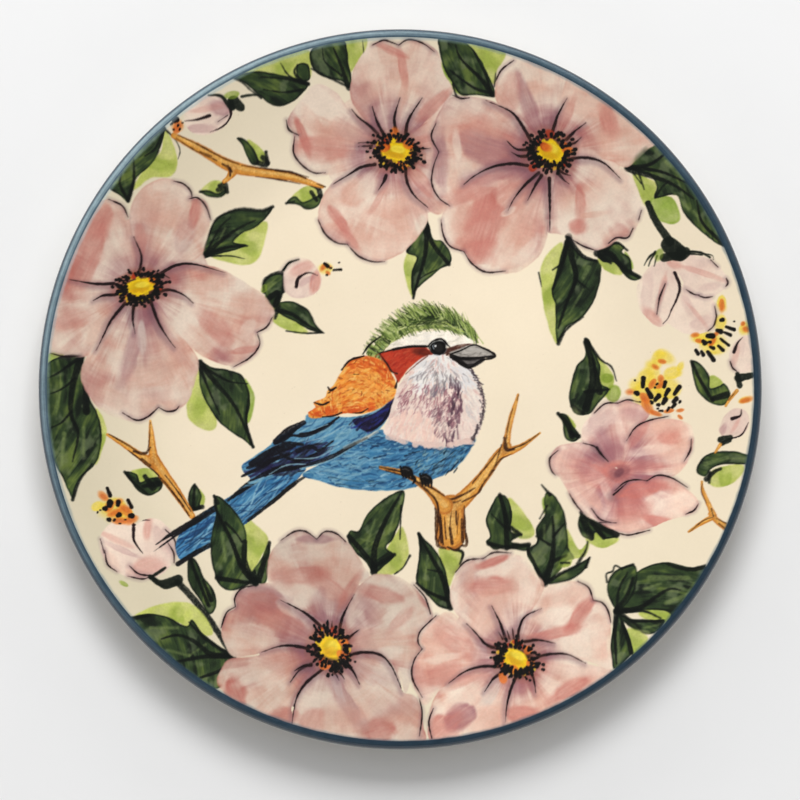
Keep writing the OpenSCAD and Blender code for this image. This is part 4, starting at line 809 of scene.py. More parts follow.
# Blossoms seen from the side, and buds: petals from the back to the front, presses and lines
SIDES = [
    dict(centre=(79, -30), full=1.04,
         petals=[
             [(66, -20), (65.6, -14), (68.6, -9.6), (72, -6.2), (77, -5), (81, -4), (86, -5.4), (90, -9),
              (86, -14), (82, -20), (79, -28), (72, -26)],
             [(80, -24), (82, -17), (86, -13), (92, -10.6), (99, -11), (104.6, -12.6), (106, -17),
              (105, -23), (102.6, -28), (99, -31), (92, -33), (84, -32), (78, -29)],
             [(76, -27), (72, -22.4), (68, -19.6), (62, -19.4), (57, -20.6), (54, -24.6), (54, -28.6),
              (58, -32.6), (61, -38), (64, -43), (70, -47.4), (77, -49), (84, -46), (84, -34)],
             [(78, -30), (88, -31), (98, -31.6), (98, -42), (90, -50), (80, -51.6), (72, -48), (68, -42),
              (72, -34)],
             [(78, -38), (80.4, -34.6), (84, -33), (89, -33), (93, -31), (98, -32), (103, -35.6),
              (108, -41), (105, -45), (98, -47), (90, -50), (84, -52), (78, -51), (74, -48), (76, -43)],],
         presses=[
             (74, -22, 14, 5, 100, MAUVE, .6), (73, -12, 12, 8, 40, MAUVE, .35),
             (84, -9, 10, 4, -15, MAUVE, .3), (78, -30, 12, 7, -20, ROSE, .85),
             (70, -31, 18, 8, -30, ROSE, .55), (62, -24, 10, 5, 0, SALMON, .3),
             (96, -17, 16, 13, 0, SALMON, .6), (97, -17, 8, 6, 10, ROSE, .45),
             (86, -16, 12, 3.4, 55, ROSE, .6), (86, -28, 20, 4, 0, ROSE, .55),
             (68, -37, 16, 5, -55, SALMON, .6), (60, -30, 12, 4, -60, SALMON, .4),
             (87, -36, 20, 6, 12, ROSE, .9), (84, -43, 12, 9, 0, ROSE, .7),
             (93, -47.6, 12, 3.4, -12, ROSE, .75), (80, -49, 14, 4, -6, SALMON, .5),
             (76, -42, 10, 4, -70, SALMON, .4), (99, -41, 12, 6, 20, LIGHT, .7),
             (90, -22, 16, 3.6, 10, LIGHT, .6), (67, -44, 8, 3, -40, LIGHT, .5),
             (80, -16, 12, 3, -70, LIGHT, .5), (74, -36, 8, 3, -70, LIGHT, .5),],
         rays=[[(71, -21), (74, -25)], [(77, -38), (82, -33.6)]],
         edges=[
             [(70, -8.6), (74, -5.2), (78.6, -5)], [(78.6, -5), (82, -3.8), (86, -4.6)],
             [(81.6, -18.6), (85, -13.6), (90, -11.2), (96.6, -9.8)],
             [(105, -18), (104.6, -22), (102.4, -26)], [(57, -22), (54, -25), (54.4, -29), (56, -31)],
             [(66, -19.4), (70, -20.6), (72, -23), (75, -26)],
             [(77.4, -36.6), (81, -33.6), (85, -32.6), (89, -33)],
             [(89, -33), (93, -31), (98, -32), (103.6, -35.4)],
             [(107.6, -41.2), (106, -43.6), (103, -45)], [(61, -37.6), (63.4, -41.6), (66, -44.6)],
             [(69, -43), (72, -46.8), (76, -48)], [(78, -51.6), (82, -52.6), (86, -51.8), (90, -50.8)],
             [(72, -48), (78, -48.2)],],),
    dict(centre=(98, 48), pale=True,
         petals=[
             [(99, 28), (102, 38), (108, 36), (113, 32), (114, 27), (113, 22.6), (110, 20.4), (103, 20),
              (98, 22.6), (96, 25)],
             [(97, 47), (92, 45.4), (88, 42), (85.6, 37), (85.6, 31), (88, 26.6), (92, 23), (95, 22.8),
              (98, 25.6), (100, 31), (101.2, 37), (100, 42)],
             [(98, 46), (102, 48.6), (108, 48.4), (114, 45), (118, 40), (117.6, 37), (114, 34), (110, 33),
              (105, 35), (100.6, 41)],],
         presses=[
             (91, 26, 8, 4, -40, ROSE, .5), (94, 34, 14, 2.2, 75, ROSE, .4),
             (99, 45, 5, 3, -20, ROSE, .5), (89, 35, 16, 4, 85, MAUVE, .15),
             (109, 42, 18, 2, -18, ROSE, .35), (109, 24, 8, 5, 20, MAUVE, .2),
             (104, 30, 10, 3, -60, MAUVE, .2), (112, 37, 8, 3, 10, MAUVE, .2),
             (107, 27, 10, 1.4, -50, ROSE, .3),],
         rays=[[(99, 42), (100.8, 37), (99.8, 32.6), (98, 29), (96.6, 25.6), (94.8, 23.6)]],
         edges=[
             [(103, 36), (106, 34.2), (108, 34)], [(107.4, 33.8), (110, 33), (112.6, 33.4)],
             [(117.6, 40), (118.2, 38.4), (117.4, 37)], [(113.4, 30), (114, 26), (113, 22.8), (111, 21)],
             [(112, 46.6), (114.6, 44)], [(95.6, 38), (93.6, 33), (92.6, 27)],],),
    dict(centre=(-88, -66), pale=True,
         petals=[
             [(-96, -48), (-102, -47.4), (-107, -51), (-108.2, -56), (-106.4, -62), (-102, -66),
              (-97, -68), (-91, -66), (-92, -55)],
             [(-95, -49), (-91, -46.8), (-87, -47), (-83, -50.4), (-80.6, -55), (-80.6, -60), (-84, -65),
              (-90, -68.4), (-97, -67.4), (-98, -64), (-94, -59), (-96.4, -54)],],
         presses=[
             (-91, -50, 8, 3, 85, ROSE, .6), (-91, -64, 12, 6, 15, ROSE, .45),
             (-103, -54, 14, 2, -25, ROSE, .35), (-100, -58, 14, 2, -25, MAUVE, .3),
             (-86, -54, 12, 4, -60, MAUVE, .2), (-104, -62, 8, 4, -50, SALMON, .3),],
         rays=[
             [(-96, -50), (-96, -54), (-94.4, -57), (-92.6, -59.2)],
             [(-96, -49), (-94, -47.2), (-90, -47.2)]],
         edges=[
             [(-108, -54), (-106.6, -59)], [(-106.4, -58), (-105.4, -63), (-102, -65.8)],
             [(-98, -67.4), (-93, -68.4), (-90, -67.6)], [(-97.6, -63.6), (-94, -66.6), (-88.6, -67.2)],
             [(-84.6, -50.6), (-81.4, -54), (-80.4, -59)],
             [(-83.6, -55.4), (-81.6, -59), (-81.4, -62.6)],],),
    dict(centre=(-43, 39), pale=True,
         petals=[
             [(-42, 39), (-41.6, 43.4), (-38, 46.6), (-33, 47), (-29.6, 43.6), (-28.2, 39), (-30.4, 34.6),
              (-36, 32.6), (-41, 34.6)]],
         presses=[
             (-35, 43.6, 9, 4, 25, ROSE, .5), (-30.6, 39, 8, 4, 80, ROSE, .65),
             (-34, 39, 8, 2, 30, MAUVE, .3), (-38, 36, 6, 4, -30, LIGHT, .5)],
         rays=[[(-37.4, 37), (-36.6, 40), (-33, 42), (-29.6, 41)]],
         edges=[[(-42.6, 42.6), (-40, 45.4), (-37, 46.6)]],),
    dict(centre=(-61, 101), pale=True,
         petals=[
             [(-61, 102), (-64, 105.8), (-69.6, 106), (-75, 103), (-78, 99.4), (-77, 95), (-74, 92.2),
              (-69, 91.8), (-64, 94), (-60.6, 98.6)]],
         presses=[
             (-65, 101.4, 8, 5, -20, MAUVE, .55), (-72, 94, 9, 3, 0, MAUVE, .4),
             (-70, 101, 12, 2.4, 10, ROSE, .3)],
         rays=[
             [(-61.4, 102), (-61, 98), (-64, 94.6), (-68.6, 92.6)],
             [(-68.6, 98.6), (-73, 97.2), (-78, 96.6)]],
         edges=[[(-62, 98.8), (-65.6, 96.4)], [(-64.6, 105.4), (-62, 102)]],),
    dict(centre=(123, 6), pale=True,
         petals=[
             [(119.6, 7.6), (118.6, 12), (120.4, 16.4), (124, 19.4), (129, 18), (128, 8), (124, 5.6)]],
         presses=[(121, 12, 8, 2, 75, ROSE, .3)], rays=[[(120.4, 13.4), (121.6, 16.6), (123.6, 18.8)]],
         edges=[[(119, 10), (119.8, 7.8), (121.4, 6.4)]],),
    dict(centre=(117, -18), pale=True,
         petals=[
             [(115, -15), (116.6, -10), (120, -7), (124.6, -7.6), (126, -12), (123, -17), (117.6, -18.4)]],
         presses=[(116, -15, 5, 2, 60, MAUVE, .5), (121, -13, 6, 1.6, 60, ROSE, .35)],
         rays=[[(119.6, -10.6), (122.6, -9.6), (123, -7.4)], [(119, -18.2), (123, -16.6), (125.6, -12)]],
         edges=[],),]

# Stamens drawn apart from a centre: yellow and orange presses, and black dabs
# as (x, y, length, width, angle)
STAMENS = [
    dict(yellow=[
             (95, 11.6, 6, 3.4, -20), (98, 5.6, 6, 4, 20), (101, 8, 3, 2, 60), (91, 6, 6, 4, -60),
             (85, 1, 4, 4, 0), (96, 0, 8, 6, 0), (90, -1, 10, 8, 0), (89, 4, 5, 5, 40),
             (93, 12, 5, 3, 40), (92, 9, 4, 3, 0)],
         orange=[
             (92, 8, 2.6, 1.6, -30), (94.4, 10, 3, 1.8, -10), (94, 3.6, 3, 2.4, 80), (89, -6, 6, 3, -60),
             (92, -8.6, 5, 2, -20), (97, -7.8, 4, 1.6, 10), (101, -7.6, 3, 1.4, 10),
             (101, -10, 2.6, 1.4, -40), (83, -1, 3, 2, 0), (91, 2, 4, 2, 60), (88, -3, 5, 3, -50),
             (94, 1.4, 4, 2, 30)],
         black=[
             (87.6, 2.4, 5, 1.9, 85), (85.2, -1.4, 2.6, 2, -20), (89.8, -1.4, 5, 2, -60),
             (95.4, 1.6, 3.4, 1.5, 75), (92.6, -3.2, 4, 2, 50), (96.2, -1.2, 4, 1.8, 60),
             (99.8, -.4, 5, 1.8, 55), (99, -4, 3.4, 1.8, 45), (95.2, -4.4, 3.6, 2, 60),
             (98.6, -6, 3, 1.5, 50), (93, -5.6, 2, 1.6, 0), (90.6, -4.6, 2, 1.4, -50),
             (94, -7.8, 2, .9, 0), (96.6, -7.2, 2.4, 1, 60), (84.6, 3.2, .9, .8, 0),
             (92.6, 1.8, 1.4, .8, 40), (86.4, -4.6, 1, .6, 0), (92.8, -7, 1.2, .8, 0),
             (100.8, -4.6, 1.6, 1.2, 60), (91.8, .6, .9, .8, 0)],),
    dict(yellow=[
             (116, 31, 5, 3, 90), (115.6, 24, 5, 3.4, 80), (110, 18, 8, 4, -20), (113, 16, 7, 6, 0),
             (124, 22, 4, 3.4, 60), (108, 18, 5, 3, -10)],
         orange=[
             (116, 30, 5, 2.2, 88), (123.6, 23.6, 2, 1.8, 60), (124.8, 21.6, 3, 2.4, -10),
             (106.4, 19.6, 3, 1.8, 10), (108, 17.4, 3, 1.6, -10), (112.6, 17, 4, 2, 50),
             (114, 20, 3, 1.6, 40)],
         black=[
             (116, 25, 2.4, 1.7, 10), (119, 22, 4.4, 1.4, -20), (118, 20, 3.8, 1.3, -25),
             (115, 21, 3.2, 2, -20), (111.8, 19.2, 4, 2.2, 0), (117, 17, 5, 1.2, -38),
             (115.6, 14.8, 3.6, 1.4, -40), (112.4, 15, 2.6, 1.4, -20), (109.6, 17, 2.8, 2, -45),
             (107, 13.4, 3, 1.5, -60), (109, 13, 3, 1.5, -65), (112, 12, 5.4, 1.8, -55),
             (120.4, 24.4, .9, .7, 0), (111.6, 17, 1.6, 1.2, 0)],),
    dict(yellow=[(-103, -43, 8, 6, 0), (-109, -42, 4, 3, 30), (-99, -45, 6, 4, 0)],
         orange=[
             (-107, -38.6, 4, 2.4, -40), (-103, -44.6, 5, 2.4, 20), (-99, -43.4, 6, 3.4, -30),
             (-97, -47, 5.6, 3, 20), (-101, -47.4, 6, 2.6, 0), (-105, -42.4, 5, 3, 60),
             (-101.6, -40.6, 3, 2, 20)],
         black=[
             (-105, -37, 4.4, 1.6, -68), (-104.6, -41.4, 3.6, 2.6, 80), (-101.6, -41.2, 3, 1.9, 80),
             (-97.4, -41.2, 4.4, 1.5, -65), (-106.4, -43, 2.4, 2, 0), (-101.4, -45.4, 2.6, 1.9, 30),
             (-97, -45.6, 2.8, 2.2, 0), (-105, -47, 2.2, 1.8, 0), (-103, -47.2, 1.4, .9, 50),
             (-98.2, -40, 1.4, 1.4, 0), (-109, -44.4, 1.2, .8, 60), (-108, -43.6, 1, .6, 0),
             (-101, -48.4, 1.2, .6, 0), (-99, -47, 1, .6, 0)],),
    dict(yellow=[(-27, 43.6, 4, 3, 0)],
         orange=[(-27.6, 44, 3.4, 1.8, 50), (-26, 42, 2, 1.4, -40), (-25.6, 44, 2, 1.4, 0)],
         black=[
             (-26.6, 44.8, 3, 1.6, -40), (-22.6, 43, 3.6, 1, 4), (-26.4, 41.2, 1, .8, 0),
             (-22, 45.6, .9, .5, 0), (-25, 43.6, 1.2, .8, 0)],),
    dict(yellow=[], orange=[(-80, 95, 4, 4, 0), (-80.6, 93.6, 3, 3, 0)],
         black=[
             (-81, 97, 3.2, 2.4, 30), (-82.4, 95.6, 1.6, 1, 40), (-80, 95, 1.4, 1, 60),
             (-79.4, 93.6, 1.4, .9, 60), (-81.6, 93.6, 1, .8, 0), (-78.4, 96, 1, .7, 0)],),
    dict(yellow=[(124, -4, 4, 2, 15)], orange=[(124.6, -4, 5.4, 2.2, 15)], black=[]),]

OCHRE = rgb(240, 178, 82)
SOIL = rgb(62, 34, 14)

# Twigs: points, widths along them
TWIGS = [
    ([(-81.6, 91.4), (-76, 88.6), (-70, 85.4), (-61, 80.4), (-50, 78), (-40, 76.8), (-33, 74.6),
      (-28, 73)], [1.6, 3, 3.4, 4.2, 3.2, 3.2, 2.4, 1]),
    ([(-60, 79), (-61.4, 76.6), (-63.4, 74.8)], [3.4, 1.8, 1]),
    ([(-105.4, -16.4), (-100, -19.6), (-95, -23), (-90, -26.4)], [.8, 1.6, 2.2, 3.4]),
    ([(-90, -11.4), (-89.6, -17), (-89, -23), (-88, -27)], [.5, 1.8, 2.4, 3.6]),
    ([(-89, -25), (-85, -31), (-80, -38), (-75, -45.6)], [4, 3.6, 3, 2]),
    ([(108.8, -33.4), (109, -36), (111, -41), (113, -45.6)], [.5, 1, 1.4, 2]),
    ([(113, -46), (109, -48), (104, -51.4)], [1.8, 1.2, .4]),
    ([(112, -45), (115, -48), (119, -50.6)], [1.6, 2, 2.6]),
    ([(121.4, -.6), (119, -3.4), (117.4, -6)], [1, .8, .4]), ([(115.4, -20), (113.6, -22.8)], [.9, .4]),
    ([(18.2, -52.6), (18.2, -48), (18.4, -42.6)], [10.4, 9.8, 9]),
    ([(19, -43), (24, -38.4), (30, -31.6), (35, -24.6), (38.6, -20.6)], [6, 5, 4, 3.6, 3]),
    ([(38, -22), (39, -15), (40.8, -8), (42.6, -2)], [2.8, 1.8, 1.6, .5]),
    ([(37.6, -23), (43, -21), (48, -17.6), (50.4, -15.8)], [3, 2, 1, .3]),]
# Dry dark lines on the twigs: points, width
BARK_LINES = [
    ([(-80.6, 90.4), (-74, 86.2), (-66, 82.4)], .6),
    ([(-80, 91.6), (-73, 88.2), (-64, 83.4), (-58, 81)], .6),
    ([(-64, 81.2), (-61.4, 79.4), (-61.2, 76.8)], 1.3), ([(-62, 80.6), (-60.6, 78.4)], 1.2),
    ([(-57, 80.6), (-48, 79.4), (-40, 78.4), (-33, 76.4)], .7),
    ([(-52, 76.6), (-44, 75.6), (-36, 74)], .6), ([(-45, 78.8), (-39, 78), (-34, 76)], 1.1),
    ([(-30, 74), (-27, 73)], 1), ([(-72, 85.6), (-68, 84)], 1),
    ([(-105, -16.2), (-99, -19.6), (-94, -23)], .7), ([(-96, -22.4), (-92, -23.2), (-90, -21)], 1.3),
    ([(-90, -12), (-90.4, -19), (-91, -22)], .5), ([(-98, -22), (-92, -26.6), (-87, -31)], .8),
    ([(-89, -29), (-84, -34.6), (-79, -41), (-76, -45.6)], .9),
    ([(-84.6, -31), (-80, -37), (-75.4, -44)], .6), ([(-93, -25), (-90, -27.4)], 1.2),
    ([(-82, -37), (-78, -42)], 1), ([(109, -34), (108.6, -37), (110.4, -41)], .4),
    ([(112.2, -43), (113, -45.8)], .8), ([(113, -46), (109, -47.6), (104.4, -51.4)], .45),
    ([(114, -46.6), (119, -49)], .7), ([(115, -48.4), (118, -51)], .6), ([(121, -.8), (118.4, -4)], .4),
    ([(14, -37.6), (18, -39.6), (22, -38.4), (27, -35.6)], .9), ([(16, -39), (19, -40.8), (22, -40)], .8),
    ([(12.8, -42), (13.2, -48), (12.9, -54)], 1.5), ([(14.4, -44), (14.8, -51), (13.8, -55)], 1.1),
    ([(16, -46), (16.6, -54)], .8), ([(23.2, -42), (23.3, -48), (23.7, -54)], 1),
    ([(21, -45), (20.6, -52)], .7), ([(18.6, -43), (18, -50), (18.6, -55)], .5),
    ([(22.4, -40.6), (28, -37.6), (30, -34), (34, -29)], .8), ([(26, -34), (31, -28), (36, -21.6)], .6),
    ([(34.6, -26.6), (36.6, -20)], .7), ([(37.6, -17.6), (38.4, -21.6), (41, -21.6)], 1.6),
    ([(38, -20), (39, -13), (40.6, -7)], .4), ([(42.2, -4), (42.8, -2)], .6),
    ([(39, -22), (45, -19.6), (50, -16)], .5), ([(32, -31), (36, -25.6), (40, -23.4)], .8),
    ([(15, -50), (15.6, -56)], .9), ([(12.9, -53), (13.8, -56.4), (16.4, -57.4)], 1.3),
    ([(17, -56.8), (20, -58), (22.6, -56)], 1.1), ([(22.4, -56.4), (24, -56), (23.9, -52)], 1.2),
    ([(14.4, -46.6), (15, -55)], 2.4), ([(22.4, -47), (22.6, -55)], 2.2),
    ([(18, -50), (18.8, -55.6)], 2.2), ([(20.2, -44), (20.4, -49)], 1.2),]
# The perch's end, and the dark lines on it
PERCH = ([(-7, -28.2), (0, -29.8), (5, -32.2), (11, -36.6), (16, -42)], [1, 1.6, 2.2, 3.4, 6])
PERCH_LINES = [
    ([(-7.4, -28), (-4, -28.8), (-1, -29.4), (3, -30.6)], 1),
    ([(-5, -29.4), (2, -31.4), (6, -33.4), (10, -36.8), (13.4, -41), (14, -48)], 1),
    ([(5.6, -33), (11, -35.4), (16, -38.4)], .8),]

# The bird: outlines of its colour fields
TAIL = [
    (-40, -27), (-34, -29), (-44, -38), (-54, -47.6), (-66, -55.4), (-77, -61.4), (-80.4, -60),
    (-80.6, -55.6), (-79, -51.6), (-70, -44), (-60, -38), (-50, -31)]
WING = [
    (-33, -9), (-24, -10), (-14, -9.6), (-4, -5), (-2, -3), (-4, -9), (-7, -14), (-14, -18), (-22, -22.6),
    (-30, -27), (-38, -29.6), (-46, -31.6), (-58, -36), (-54, -33), (-57, -27.6), (-49, -22),
    (-46, -19.4), (-43, -16.6), (-35, -12)]
BELLY = [
    (-7, -14.6), (-5, -15.6), (0, -17.6), (8, -19.6), (17, -20.6), (27, -17.6), (25.4, -22), (21.6, -27),
    (17, -30.4), (12, -32.4), (5, -35.4), (-3, -36.4), (-12, -36.4), (-21, -35.4), (-29, -33), (-35, -31),
    (-30, -27.6), (-20, -22), (-12, -18)]
SHOULDER = [
    (-13, 12), (-9, 11.6), (-5, 9), (-3, 5.6), (-1.4, 2), (-2, -2.4), (-4, -4.6), (-8, -7.4), (-14, -8.8),
    (-20, -8.8), (-26, -10), (-32, -10.4), (-33, -8.4), (-30, -6.4), (-31, -4.8), (-27, -3), (-26, -.4),
    (-23.6, 1.6), (-22, 5), (-19, 9), (-16, 11.4)]
NAVY = [(-2, -2.6), (-3.6, -8), (-6, -12), (-11, -15.4), (-15, -13.6), (-17, -11), (-12, -9.8), (-7, -7.4)]
BREAST = [
    (9, 12.6), (13, 12.6), (17, 12.4), (22, 10), (26, 7.4), (29, 2), (30.6, -5), (29.6, -12), (27, -18),
    (22, -20.4), (17, -21), (10, -20.4), (4, -19), (-2, -17.4), (-6, -15.4), (-4, -10), (-2, -3), (0, 2),
    (4, 8)]
CREST = [
    (-12, 12.6), (-9.4, 15.6), (-7, 18.8), (-3.8, 22.6), (.8, 26.2), (5, 28.4), (10, 29), (15, 28),
    (19.6, 26), (23.6, 23), (26.4, 19.6), (26.6, 16.6), (23, 19.6), (18, 21.2), (12, 21.6), (6, 21),
    (1, 19), (-3.4, 16.4), (-6, 13.4), (-4, 8.6), (-7, 10.8)]
BROW = [
    (-4, 15.4), (1, 18.6), (6, 20.4), (12, 21), (18, 20.8), (23, 19.4), (26.4, 17.4), (26, 15.6),
    (20, 15.4), (17, 15.6), (14, 18), (10, 16.2), (4, 15.4)]
CHEEK = [
    (-7.4, 12.8), (-3, 14), (3, 15), (8, 15.4), (10.4, 14), (12, 12.8), (9, 12), (5.6, 9.8), (2.6, 7),
    (.6, 4), (-.8, 2.2), (-2, 5), (-5, 9)]
BEAK_TOP = [(17.4, 13), (21, 14.6), (26, 16.2), (30, 14.6), (34, 12.4), (33.6, 11.4), (28, 11.6), (22, 11.2)]
BEAK_LOW = [(19, 11.6), (22, 9.2), (25, 7.8), (28, 8.8), (30.6, 11), (26, 11.6)]

BLUE = rgb(62, 124, 164)
SKY = rgb(124, 172, 196)
DEEP = rgb(34, 80, 124)
NIGHT = rgb(38, 34, 70)


def field(points, colour, who, seed, alpha=0.96):
    """A flat colour over an outline, a little mottled."""
    part, X, Y, depth = inside(points, seed, 0.3)
    tone = 1 + 0.06 * rough(X / 3, Y / 3, seed)
    lay(part, colour * tone[..., None].astype(np.float32), ramp(depth, -0.3, 0.3) * alpha, who, 0.02)


def feathers(points, flow, colours, count, length, width, who, seed, alpha=0.6, only=None):
    """Short brush marks over an outline, each along the flow at its place."""
    rng = np.random.default_rng(seed)
    colours = [rgb(*c) for c in colours]
    loop = curve(points, True)
    low, high = loop.min(0), loop.max(0)
    x1, y1, x2, y2 = loop[:, 0], loop[:, 1], np.roll(loop[:, 0], -1), np.roll(loop[:, 1], -1)
    done = 0
    while done < count:
        x, y = rng.uniform(low, high)
        crossing = ((y1 > y) != (y2 > y)) & (
            x < x1 + (y - y1) * (x2 - x1) / np.where(y2 == y1, TINY, y2 - y1))
        if crossing.sum() % 2 == 0:
            continue
        done += 1
        a = np.radians((flow(x, y) if callable(flow) else flow) + rng.normal(0, 9))
        l = length * rng.uniform(0.6, 1.3)
        bend = rng.normal(0, 0.12) * l
        u, v = np.cos(a), np.sin(a)
        start = (x - u * l / 2, y - v * l / 2)
        mid = (x - v * bend, y + u * bend)
        end = (x + u * l / 2, y + v * l / 2)
        colour = colours[rng.integers(len(colours))]
        w = width * rng.uniform(0.6, 1.3)
        stroke([start, mid, end], [w, w * 0.8, w * 0.25], colour, alpha * rng.uniform(0.6, 1.1), None,
               only if only is not None else [who], 0.2, seed=done, lift=0.025)


def plumage(who, coats):
    """Feathers on one piece: outline, flow, colours, count, length, width, seed, strength."""
    for points, flow, colours, count, length, width, seed, alpha in coats:
        feathers(points, flow, colours, count, length, width, who, seed, alpha)


def bird():
    """The bird on its perch, from the tail to the head; a flow is an angle in degrees."""
    # Tail: long streaks with thick dry edges
    field(TAIL, rgb(72, 132, 176), WING_PIECE, 3)
    along = 36
    plumage(WING_PIECE, [
        (TAIL, along, [SKY, BLUE, DEEP, (70, 140, 184)], 170, 15, 1.0, 5, 0.6),
        (TAIL, along, [(30, 56, 88), (160, 200, 214), (24, 60, 104)], 90, 12, 0.5, 6, 0.7)])
    for points, widths in (
        ([(-43, -26.6), (-52, -32.6), (-60, -38.6), (-62, -40.2)], [1.2, 2.6, 2.2, .8]),
        ([(-66, -42.4), (-74, -47.6), (-82, -52), (-88, -56)], [2.2, 2.6, 1.8, .3]),
        ([(-68, -44), (-76, -49.6), (-82, -53.6), (-88.6, -58.4)], [.6, 1, .8, .2]),
        ([(-31, -29.6), (-38, -34), (-46, -40.6), (-54.6, -47.2)], [.5, 1.6, 1.4, 1]),
        ([(-66, -55), (-73, -58.6), (-80, -63)], [1.6, 1.8, 1.8]),
    ):
        stroke(points, widths, rgb(22, 22, 24), 0.95, WING_PIECE, dry=0.25, seed=4, lift=0.04)

    # Belly: blue scribbles, jagged against the breast
    field(BELLY, BLUE, BELLY_PIECE, 12, 0.93)
    sweep = lambda x, y: 12 + 0.9 * (x + 5)
    plumage(
        BELLY_PIECE,
        [(BELLY, sweep, [SKY, BLUE, (84, 148, 184), DEEP], 360, 4.2, 0.8, 15, 0.65),
         (BELLY, sweep, [(160, 194, 206), (134, 182, 198), (26, 62, 100), (20, 48, 82)], 170, 3.2, 0.5,
          16, 0.7),
         ([(8, -22), (25, -19), (20, -27), (12, -31), (5, -30)], 40,
          [(24, 44, 60), (60, 92, 110), (150, 176, 176)], 60, 2.6, 0.45, 18, 0.75),
         ([(-30, -29), (-12, -21), (-9, -27), (-16, -33), (-27, -32)], 18, [(150, 188, 200), SKY], 60, 5,
          0.8, 17, 0.5)])
    for a, b in (
        ((20, -24), (9, -28)), ((20, -22), (12, -28)), ((17, -27), (10, -29.6)),
        ((21, -26), (18, -29.6))):
        stroke([a, b], [.3, .7, .3], rgb(20, 30, 44), 0.8, dry=0.2)
    for x, y in ((-8, -24.6), (4.6, -23), (6, -22.6), (-6, -24), (3, -23.8)):
        stroke([(x - 1.4, y - .2), (x + 1, y + .2)], [.5, .3], rgb(24, 44, 66), 0.8)
    for a, b in (
        ((-25, -31.6), (-19, -33)), ((-20, -32.6), (-13, -33.4)), ((-12, -33), (-5, -33.4)),
        ((-23, -34), (-15, -35.4))):
        stroke([a, b], [.4, .6, .3], rgb(60, 92, 108), 0.7, dry=0.2)
    for x, y in ((19.6, -27.6), (20.6, -28.4), (17.6, -29.4), (23, -24.6)):
        stroke([(x, y), (x - 1.2, y - 1.6)], [.5, .3], rgb(24, 40, 52), 0.8)

    # Wing: light blue with long dark feathers
    field(WING, rgb(92, 148, 178), WING_PIECE, 21)
    slope = lambda x, y: 30 + 0.25 * (x + 30)
    plumage(
        WING_PIECE,
        [(WING, slope, [SKY, BLUE, (150, 188, 198), DEEP], 230, 6.5, 0.8, 24, 0.6),
         ([(-55, -30), (-44, -22), (-30, -20), (-24, -22), (-34, -28), (-46, -30)], slope,
          [NIGHT, (30, 30, 44), (56, 66, 110)], 120, 7, 0.9, 25, 0.7)])
    for points, widths in (
        ([(-34.6, -12), (-40, -15), (-44.6, -18.8)], [1.6, 3, 2.4]),
        ([(-37, -14), (-42, -18), (-45, -19.4)], [1, 2, 1.4]),
        ([(-38, -20.4), (-47, -23), (-53.6, -27)], [1.2, 3, 2.2]),
        ([(-40, -23.6), (-48, -26), (-55, -28.4)], [1, 1.8, 1]),
        ([(-22, -10), (-27, -13.6), (-34, -16.6), (-40, -16.6)], [.6, 1.6, 1.4, .8]),
        ([(-24, -11.4), (-30, -15), (-36, -16)], [.4, 1, .5]),
        ([(-16, -19.6), (-24, -24), (-32, -27), (-42, -29)], [1, 1.6, 1.4, 1]),
        ([(-24, -18.6), (-29, -22), (-32, -20.6), (-37, -22.4)], [.5, 1, 1.4, 1.6]),
        ([(-32, -24.6), (-38, -25.6), (-43, -23.4)], [1, 1.3, 1]),
        ([(-35, -20), (-41, -19.6), (-47, -22)], [1, 1.6, 1]),
        ([(-38, -28.4), (-46, -29.6), (-54, -33)], [1.6, 2.2, .6]),
        ([(-30, -23), (-38, -26.6), (-46, -28.6)], [.6, 1, .8]),
        ([(-44, -24.6), (-50, -28), (-57, -31.4)], [1.2, 1.6, .8]),):
        stroke(
            points, widths, rgb(20, 19, 26), 0.92, WING_PIECE, dry=0.22, seed=int(widths[0] * 10),
            lift=0.04)
    for points in (
        [(-20, -13), (-27, -17), (-34, -19)], [(-22, -20.6), (-30, -24.6), (-38, -25)],
        [(-34, -27), (-41, -27.4), (-47, -30.6)], [(-26, -12.6), (-32, -14.8)],
        [(-18, -21.6), (-26, -26), (-36, -28.6)]):
        stroke(points, [.3, .6, .3], rgb(150, 186, 198), 0.8, WING_PIECE)
    wash(NAVY, NIGHT, 0.95, WING_PIECE, None, 0.3, 5, 0.2, streak=30)
    feathers(NAVY, 40, [rgb(44, 52, 128), rgb(24, 20, 40)], 40, 4, 0.7, WING_PIECE, 28, 0.6)
    stroke([(-2, -3), (-4.4, -9), (-8, -13.4), (-12, -15)], [.4, .9, 1, .8], rgb(20, 18, 34), 0.9, WING_PIECE)
    stroke([(-8, -15.4), (-14, -18.4), (-20, -21)], [.8, 1.6, 1], rgb(170, 180, 178), 0.7, WING_PIECE, dry=.3)
    stroke([(-12, -17.6), (-17, -20), (-21, -22)], [.8, 1.2, 1], rgb(60, 66, 66), 0.6, WING_PIECE, dry=.4)

